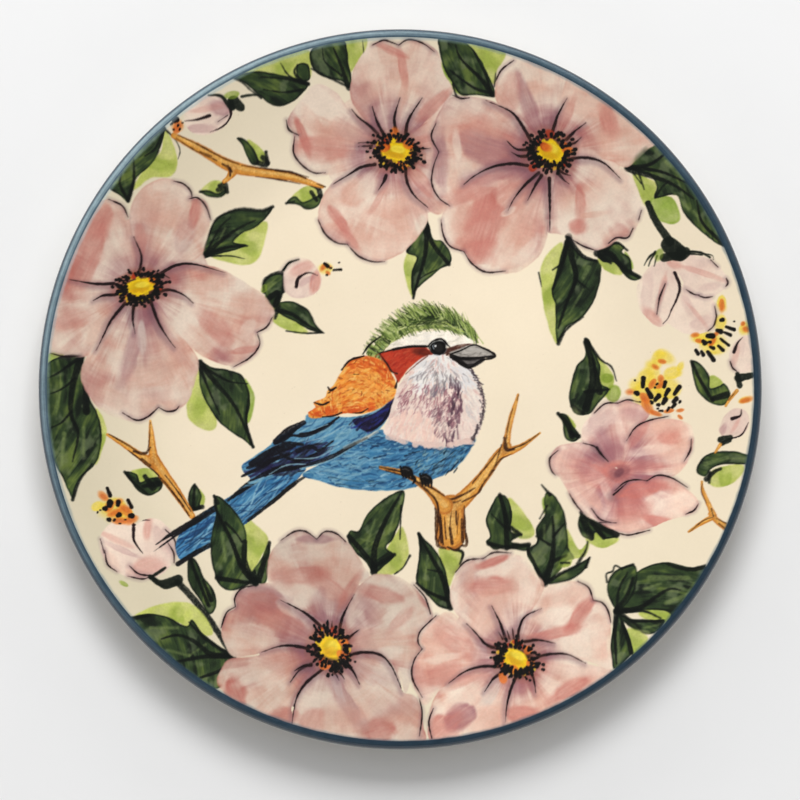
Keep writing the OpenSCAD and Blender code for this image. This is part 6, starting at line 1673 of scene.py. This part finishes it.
class Nodes:
    """Makes a material's nodes with few words."""

    def __init__(self, name):
        self.material = bpy.data.materials.new(name)
        self.material.use_nodes = True
        self.tree = self.material.node_tree
        self.shader = self.tree.nodes["Principled BSDF"]
        self.place = self.tree.nodes.new("ShaderNodeTexCoord").outputs["Object"]

    def node(self, kind, **inputs):
        """A new node with its inputs set by name."""
        made = self.tree.nodes.new(kind)
        for key, value in inputs.items():
            self.put(made.inputs[key], value)
        return made

    def put(self, socket, value):
        """Sets an input to a value, or links another node's output to it."""
        if isinstance(value, bpy.types.NodeSocket):
            self.tree.links.new(value, socket)
        else:
            socket.default_value = value

    def noise(self, size, detail, stretch=None):
        """Noise whose features are about size metres across."""
        place = self.place
        if stretch:
            place = self.node("ShaderNodeMapping", Vector=place, Scale=stretch).outputs[0]
        return self.node("ShaderNodeTexNoise", Vector=place, Scale=1 / size, Detail=detail).outputs["Fac"]

    def level(self, value, low, high, to_low=0.0, to_high=1.0):
        """A value moved from one range to another."""
        made = self.node("ShaderNodeMapRange", Value=value)
        for key, number in (("From Min", low), ("From Max", high), ("To Min", to_low), ("To Max", to_high)):
            made.inputs[key].default_value = number
        return made.outputs[0]

    def maths(self, operation, a, b=0.0):
        made = self.tree.nodes.new("ShaderNodeMath")
        made.operation = operation
        self.put(made.inputs[0], a)
        self.put(made.inputs[1], b)
        return made.outputs[0]

    def mixed(self, way, factor, a, b):
        """Two colours mixed; a colour is a socket or three numbers."""
        made = self.tree.nodes.new("ShaderNodeMix")
        made.data_type = "RGBA"
        made.blend_type = way
        for key, value in ((0, factor), (6, a), (7, b)):
            self.put(made.inputs[key], value if not isinstance(value, tuple) else value + (1,))
        return made.outputs[2]

    def grey(self, value):
        return self.node("ShaderNodeCombineColor", Red=value, Green=value, Blue=value).outputs[0]

    def paint(self):
        """The colour that the mesh holds at each point."""
        made = self.tree.nodes.new("ShaderNodeAttribute")
        made.attribute_name = "paint"
        return made.outputs["Color"]

    def bump(self, height, strength, distance):
        made = self.node("ShaderNodeBump", Height=height, Strength=strength, Distance=distance)
        self.put(self.shader.inputs["Normal"], made.outputs[0])
        return made

    def finish(self, colour, roughness, coat=0.6, specular=0.5):
        """The material, with its colour and gloss in place."""
        self.put(self.shader.inputs["Base Color"], colour)
        self.put(self.shader.inputs["Roughness"], roughness)
        self.shader.inputs["Coat Weight"].default_value = coat
        self.shader.inputs["Coat Roughness"].default_value = 0.06
        self.shader.inputs["Specular IOR Level"].default_value = specular
        return self.material


def glazed(name, mottle, mottle_size, grain_size, rough_low, rough_high, ripple=0.04):
    """Painted colour under a gloss: mottled, with a fine grain, and an uneven gloss."""
    n = Nodes(name)
    soft = n.level(n.noise(mottle_size, 3), 0.3, 0.7, 1 - mottle, 1 + mottle)
    fine = n.level(n.noise(grain_size, 2), 0.3, 0.7, 1 - mottle * 0.7, 1 + mottle * 0.7)
    both = n.maths("MULTIPLY", soft, fine)
    colour = n.mixed("MULTIPLY", 1.0, n.paint(), n.grey(both))
    roughness = n.level(n.noise(0.006, 2), 0.3, 0.7, rough_low, rough_high)
    wave = n.maths("ADD", n.noise(0.011, 2), n.maths("MULTIPLY", n.noise(grain_size, 2), 0.04))
    n.bump(wave, ripple, 0.001)
    return n.finish(colour, roughness)


# -- The face ----------------------------------------------------------------------------------

GRID = 860          # cells along each side of the face's grid
BAND_STEPS, BACK_STEPS, RECESS_STEPS = 720, 512, 384    # steps round the turned pieces
TILT = math.radians(5.3)
AWAY = 5.0          # distance of the camera from the plate, in metres
VIEW = 0.2874       # width of what the camera sees there
AIM = Vector((-0.00007, -0.00437, band_high.z))    # the point it looks at
SHEET_SCALE = 1.0032    # mm of the painted sheet for each mm that the camera sees at the plate
SHEET_DROP = 3.89       # mm from the sheet's middle down to the camera's aim


def face_grid():
    """Points of a disc as wide as the face, in cells that are all about the same size."""
    a = np.linspace(-1, 1, GRID + 1)
    x, y = np.meshgrid(a, a)
    wide = np.abs(x) > np.abs(y)
    r = np.where(wide, x, y)
    other = np.where(wide, y, x)
    turn = math.pi / 4 * other / np.where(r == 0, 1, r)
    turn = np.where(wide, turn, math.pi / 2 - turn)
    return BAND_R * r * np.cos(turn), BAND_R * r * np.sin(turn)


def on_sheet(x, y, z):
    """Where the camera sees points of the plate on the painted sheet, in mm."""
    right, back, up = x - AIM.x, y - AIM.y, z - AIM.z
    near = SHEET_SCALE * AWAY / (AWAY + back * math.sin(TILT) - up * math.cos(TILT)) / MM
    return right * near, (back * math.cos(TILT) + up * math.sin(TILT)) * near - SHEET_DROP


def sample(sheet, u, v):
    """The sheet's value at places in mm, filled in between its cells."""
    i = np.clip((u + HALF) / CELL - 0.5, 0, SIDE - 1.001)
    j = np.clip((v + HALF) / CELL - 0.5, 0, SIDE - 1.001)
    i0, j0 = i.astype(int), j.astype(int)
    a, b = i - i0, j - j0
    if sheet.ndim == 3:
        a, b = a[..., None], b[..., None]
    low = sheet[j0, i0] * (1 - a) + sheet[j0, i0 + 1] * a
    high = sheet[j0 + 1, i0] * (1 - a) + sheet[j0 + 1, i0 + 1] * a
    return low * (1 - b) + high * b


RIM = 130            # mm, the length that turns an angle into a way along the rim
BLUE_EDGE = 126.55   # mm, radius where the blue begins on its widest side
LINE_R = 127.3       # mm, radius of the darker line the brush left
PAINTED_GLINT_R = 128.5      # mm, radius of the painted glint along the lip's ridge
SHADED_OUTER_R = (128.9, 129.5)    # mm, where painted shade darkens the blue toward the lip's outer side
# The band's blue runs from BLUE_DARK to BLUE_LIGHT with painted light, its painted glint and the brush's
# streaks
BLUE_DARK, BLUE_LIGHT = rgb(26, 45, 60), rgb(150, 171, 178)
BRIGHTEST = math.radians(135)    # compass angle of the band's lightest place, where light is painted on


def lit_side(points):
    """1 where the band is painted lightest, on the side toward the light, and 0 on the opposite side."""
    return 0.5 + 0.5 * np.cos(np.arctan2(points[..., 1], points[..., 0]) - BRIGHTEST)


def round_rim(points):
    """Radius, and way along the rim, of points, both in mm."""
    r = np.hypot(points[..., 0], points[..., 1]) / MM
    return r, np.arctan2(points[..., 1], points[..., 0]) * RIM


def band_blue(points):
    """Brushed blue, streaky, with painted light toward one side and a painted glint along the lip; darker
    along each edge: a line the brush left inside, and painted shade on the lip's outer side.
    """
    r, ring = round_rim(points)
    streak = rough(ring / 16, r / 0.8, 31) * 0.6 + rough(ring / 4, r / 0.45, 35) * 0.4
    lit = lit_side(points)
    # Painted light: the blue is mixed lighter toward the lit side; the streaks are the brush's
    thin = 0.09 + 0.78 * lit ** 2.4 + (0.05 + 0.14 * lit) * streak
    # A painted glint along the lip's ridge, on the lit side
    thin += 0.22 * lit * ramp(np.abs(r - PAINTED_GLINT_R), 0.35, 0.1)
    # Painted shade darkens the blue toward the lip's outer side
    thin *= 1 - 0.8 * ramp(r, *SHADED_OUTER_R)
    thin *= 1 - 0.45 * ramp(np.abs(r - LINE_R - 0.2 * rough(ring / 12, r, 39)), 0.5, 0.1)
    return mix(BLUE_DARK, BLUE_LIGHT, np.clip(thin, 0, 1))


def inside_band(points):
    """How far points lie inside the edge of the blue, which was laid by hand and is not quite even."""
    r, ring = round_rim(points)
    return BLUE_EDGE + 0.75 * (1 - lit_side(points)) + 0.12 * rough(ring / 5, r / 9, 33) - r


def bled(points):
    """The picture at points of the face, with the blue of the rim that bled into it."""
    colours = sample(picture, *on_sheet(*np.moveaxis(points, -1, 0)))
    _, ring = round_rim(points)
    blue = ramp(inside_band(points) + 0.3 * rough(ring / 5, 0 * ring, 37), 1.1, 0.0)
    return mix(colours, band_blue(points) * 1.25 + 10, 0.45 * blue)


def band_colour(points):
    """The blue, and the picture where the blue does not reach the band's full width."""
    on_face = ramp(inside_band(points), -0.12, 0.22) * (points[:, 2] > LIP_Z)
    return mix(band_blue(points), bled(points), on_face)


def middle(a):
    """The mean of each cell's four corners."""
    return (a[1:, 1:] + a[:-1, 1:] + a[1:, :-1] + a[:-1, :-1]) / 4


# A fine grid over the face carries the picture's colours and relief, and is then split by owner
x, y = face_grid()
z = face_height(np.hypot(x, y))
u, v = on_sheet(x, y, z)
z = z + sample(relief, u, v) * MM
points = np.stack([x, y, z], 2)
along = np.gradient(points, axis=1)
across = np.gradient(points, axis=0)
normals = np.cross(along, across)
normals *= np.sign(normals[..., 2:]) / np.linalg.norm(normals, axis=2, keepdims=True)
colours = bled(points)
mid_u, mid_v = middle(u), middle(v)
cell_owner = owner[((mid_v + HALF) / CELL).astype(int).clip(0, SIDE - 1),
                   ((mid_u + HALF) / CELL).astype(int).clip(0, SIDE - 1)]
index = np.arange((GRID + 1) ** 2).reshape(GRID + 1, GRID + 1)
corners = np.stack([index[:-1, :-1], index[:-1, 1:], index[1:, 1:], index[1:, :-1]], 2)

# Pieces of the face: owner, CAD node, slot, and the look that glazed() makes, with its name
FACE_PIECES = [
    (CREAM, "face_glaze", "cream_glaze", ("cream_glaze_face", 0.012, 0.02, 0.0011, 0.10, 0.17)),
    (PETAL, "blossom_petals", "petal_colour", ("petal_colour", 0.05, 0.006, 0.0009, 0.12, 0.20)),
    (CENTRE, "blossom_centres", "yellow_colour",
     ("yellow_colour", 0.07, 0.002, 0.0006, 0.16, 0.28, 0.08)),
    (LEAF, "leaves", "leaf_colour", ("leaf_colour", 0.10, 0.004, 0.0008, 0.12, 0.22, 0.06)),
    (TWIG, "twigs", "twig_colour", ("twig_colour", 0.10, 0.003, 0.0007, 0.16, 0.28, 0.06)),
    (WING_PIECE, "bird_wing_and_tail", "wing_colour",
     ("wing_colour", 0.08, 0.003, 0.0007, 0.14, 0.24, 0.06)),
    (BELLY_PIECE, "bird_belly", "belly_colour", ("belly_colour", 0.08, 0.003, 0.0007, 0.14, 0.24, 0.06)),
    (BREAST_PIECE, "bird_breast", "breast_colour",
     ("breast_colour", 0.05, 0.003, 0.0007, 0.14, 0.24, 0.06)),
    (SHOULDER_PIECE, "bird_shoulder", "shoulder_colour",
     ("shoulder_colour", 0.08, 0.002, 0.0007, 0.14, 0.24, 0.06)),
    (HEAD_PIECE, "bird_head", "head_colour", ("head_colour", 0.07, 0.002, 0.0006, 0.14, 0.24, 0.06))]
for who, node, slot, look in FACE_PIECES:
    quads = corners[cell_owner == who]
    used, quads = np.unique(quads, return_inverse=True)
    piece = make_piece(node + "_painted", points.reshape(-1, 3)[used], quads.reshape(-1, 4),
                       colours.reshape(-1, 3)[used], normals.reshape(-1, 3)[used])
    add_to_part(piece, slot, glazed(*look), node)


# -- The rim band, the back and the foot -------------------------------------------------------

BAND_ON_BACK = 0.0025          # how far the blue reaches down the back, in metres
FOOT_R = 0.0800                # outer radius of the foot ring
FOOT_EDGE = 80.6               # mm, where the glaze ran thin beside it
BACK_BLEED = (122.6, 125.2)    # mm, where the blue bleeds into the back
flank_normal = math.asin(LIP_R / (FLANK + WALL / 2))    # angle at which the flank meets the lip


def flank_point(angle, depth):
    """Radius and height of a point depth under the flank, at an angle from the axis."""
    return ((FLANK + depth) * math.sin(angle),
            FACE_Z + TURN + JOIN - (FLANK + depth) * math.cos(angle))


def lip_points(radius, start, end, count):
    """Points round the lip's middle, from one angle to another."""
    return [(LIP_R + radius * math.cos(t), LIP_Z + radius * math.sin(t))
            for t in np.linspace(start, end, count)]


face_end = math.asin(BAND_R / FLANK)
back_end = flank_normal - BAND_ON_BACK / (FLANK + WALL)
profile = [flank_point(t, 0) for t in np.linspace(face_end, flank_normal, 12)[:-1]]
top_angle = math.pi / 2 + flank_normal
profile += lip_points(WALL / 2, top_angle, top_angle - math.pi, 36)
profile += [flank_point(t, WALL) for t in np.linspace(flank_normal, back_end, 8)[1:]]
profile += [flank_point(back_end, WALL - GLAZE)]
profile += lip_points(WALL / 2 - GLAZE, top_angle - math.pi, top_angle, 24)
profile += [flank_point(face_end, GLAZE)]
band = turned("rim_band_painted", profile[::-1], BAND_STEPS, band_colour)
add_to_part(band, "blue_band", glazed("blue_band", 0.10, 0.004, 0.0009, 0.10, 0.20, 0.06), "rim_band")


def cream_back(points):
    """Cream glaze that ran thin at the foot, with some blue from the band above."""
    r, ring = round_rim(points)
    tone = 1 + 0.010 * rough(points[:, 0] / MM / 14, points[:, 1] / MM / 14, 61)
    colour = rgb(238, 226, 202) * tone[:, None]
    thin = ramp(np.abs(r - FOOT_EDGE), 1.1, 0.1)
    colour = mix(colour, rgb(208, 178, 142), 0.5 * thin)
    bleed = ramp(r + 0.8 * rough(ring / 4, r / 4, 63), *BACK_BLEED)
    return mix(colour, rgb(120, 140, 150), 0.75 * bleed)


def rings(r):
    """Shallow rings that the turning tool left, in metres."""
    return 0.00004 * np.sin(r / 0.0021 + 1.2 * np.sin(r / 0.011)) * np.clip((r - 0.004) / 0.01, 0, 1)


def coat(radii, share, ends=()):
    """Outline of a glaze under the wall: ringed outside by a share of the rings, plain inside."""
    under = [(r, float(face_height(r, WALL)) - float(rings(r)) * k) for r, k in zip(radii, share)]
    over = [(r, float(face_height(r, WALL - GLAZE))) for r in [*radii[::-6], *ends]]
    return (under + over)[::-1]


radii = np.linspace(FOOT_R, back_high.x, 200)
back = turned("back_glaze_turned", coat(radii, np.minimum(1, (back_high.x - radii) / 0.006)), BACK_STEPS,
              cream_back)
add_to_part(
    back, "cream_glaze", glazed("cream_glaze_back", 0.02, 0.02, 0.0011, 0.12, 0.22, 0.06), "back_glaze")

radii = np.linspace(0, recess_high.x, 120)
recess = turned("foot_recess_glaze_turned", coat(radii, np.full(len(radii), 0.8), [0.0]), RECESS_STEPS,
                cream_back)
add_to_part(
    recess, "cream_glaze", glazed("cream_glaze_recess", 0.02, 0.02, 0.0011, 0.12, 0.22, 0.06),
    "foot_recess_glaze")


RINGS_PER_METRE = 9000    # radians of turning mark for each metre of radius


def clay_material():
    """Bare clay: two tones, dark grog, pale chalk, and fine marks from turning."""
    n = Nodes("clay")
    tone = n.level(n.noise(0.004, 4), 0.3, 0.7)
    colour = n.mixed("MIX", tone, (0.62, 0.43, 0.28), (0.74, 0.56, 0.40))
    grog = n.level(n.noise(0.0007, 1), 0.66, 0.72)
    colour = n.mixed("MIX", grog, colour, (0.36, 0.22, 0.13))
    chalk = n.level(n.noise(0.0011, 1, (1.1, 1.1, 1.1)), 0.68, 0.74)
    colour = n.mixed("MIX", chalk, colour, (0.86, 0.76, 0.64))
    flat = n.node("ShaderNodeVectorMath", Vector=n.place)
    flat.operation = "MULTIPLY"
    flat.inputs[1].default_value = (1, 1, 0)
    size = n.tree.nodes.new("ShaderNodeVectorMath")
    size.operation = "LENGTH"
    n.put(size.inputs[0], flat.outputs[0])
    ring = n.maths("SINE", n.maths("MULTIPLY", size.outputs["Value"], RINGS_PER_METRE))
    height = n.maths("ADD", n.maths("MULTIPLY", ring, 0.25), n.noise(0.0006, 3))
    n.bump(height, 0.35, 0.0004)
    return n.finish(colour, n.level(tone, 0, 1, 0.75, 0.92), coat=0.0, specular=0.3)


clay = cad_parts["clay_body"]
clay.data.materials.clear()
clay.data.materials.append(clay_material())


# -- Floor, light and camera -------------------------------------------------------------------

floor_mesh = bpy.data.meshes.new("floor")
reach = 4.0     # metres from the middle to each side
corner_points = [(reach * x, reach * y, 0) for x, y in ((-1, -1), (1, -1), (1, 1), (-1, 1))]
floor_mesh.from_pydata(corner_points, [], [(0, 1, 2, 3)])
floor = bpy.data.objects.new("floor", floor_mesh)
bpy.context.scene.collection.objects.link(floor)
floor_look = Nodes("floor_paper")
paper = floor_look.level(floor_look.noise(0.03, 2), 0.3, 0.7, 0.855, 0.865)
floor_look.finish(floor_look.grey(paper), 0.9, coat=0, specular=0.1)
floor_mesh.materials.append(floor_look.material)


LAMPS_AWAY = 2.4    # metres from the plate to each lamp


def area_light(name, azimuth, slant, size, power, narrow=None):
    """A lamp that looks at the plate from a compass angle, slant from straight above."""
    lamp = bpy.data.lights.new(name, "AREA")
    lamp.energy = power
    lamp.size = size
    if narrow:
        lamp.shape = "RECTANGLE"
        lamp.size_y = narrow
    a, s = math.radians(azimuth), math.radians(slant)
    at = LAMPS_AWAY * Vector((math.sin(s) * math.cos(a), math.sin(s) * math.sin(a), math.cos(s)))
    thing = bpy.data.objects.new(name, lamp)
    thing.location = at
    thing.rotation_euler = (-at).to_track_quat("-Z", "Y").to_euler()
    thing.visible_glossy = bool(narrow)
    thing.visible_camera = False
    bpy.context.scene.collection.objects.link(thing)


area_light("key", 90, 32, 1.1, 33.4)
area_light("top", 90, 10, 2.4, 19)
area_light("strip", 98, 63, 3.4, 8, 0.16)           # draws the glint along the lip
# A studio with a dim ceiling and bright walls: the walls light the glaze without veiling its darks
world = bpy.data.worlds.new("studio")
world.use_nodes = True
sky = world.node_tree
background = sky.nodes["Background"]
background.inputs["Color"].default_value = (1, 1, 1, 1)
way = sky.nodes.new("ShaderNodeTexCoord")
height = sky.nodes.new("ShaderNodeSeparateXYZ")
walls = sky.nodes.new("ShaderNodeMapRange")
walls.interpolation_type = "SMOOTHSTEP"
for key, number in (("From Min", 0.42), ("From Max", 0.68), ("To Min", 0.62), ("To Max", 0.12)):
    walls.inputs[key].default_value = number
side = sky.nodes.new("ShaderNodeVectorMath")
side.operation = "DOT_PRODUCT"
side.inputs[1].default_value = (-0.10, -0.05, 0)          # the left wall is the brightest
share = sky.nodes.new("ShaderNodeMath")
share.inputs[1].default_value = 1.0
strength = sky.nodes.new("ShaderNodeMath")
strength.operation = "MULTIPLY"
sky.links.new(way.outputs["Generated"], side.inputs[0])
sky.links.new(side.outputs["Value"], share.inputs[0])
sky.links.new(way.outputs["Generated"], height.inputs[0])
sky.links.new(height.outputs["Z"], walls.inputs["Value"])
sky.links.new(walls.outputs[0], strength.inputs[0])
sky.links.new(share.outputs[0], strength.inputs[1])
sky.links.new(strength.outputs[0], background.inputs["Strength"])
bpy.context.scene.world = world

SENSOR = 36     # mm
camera_data = bpy.data.cameras.new("camera")
camera_data.sensor_width = SENSOR
camera_data.lens = SENSOR * AWAY / VIEW
camera = bpy.data.objects.new("camera", camera_data)
camera.location = AIM + AWAY * Vector((0, -math.sin(TILT), math.cos(TILT)))
camera.rotation_euler = (AIM - camera.location).to_track_quat("-Z", "Y").to_euler()
bpy.context.scene.collection.objects.link(camera)
bpy.context.scene.camera = camera
bpy.context.scene.view_settings.view_transform = "Standard"
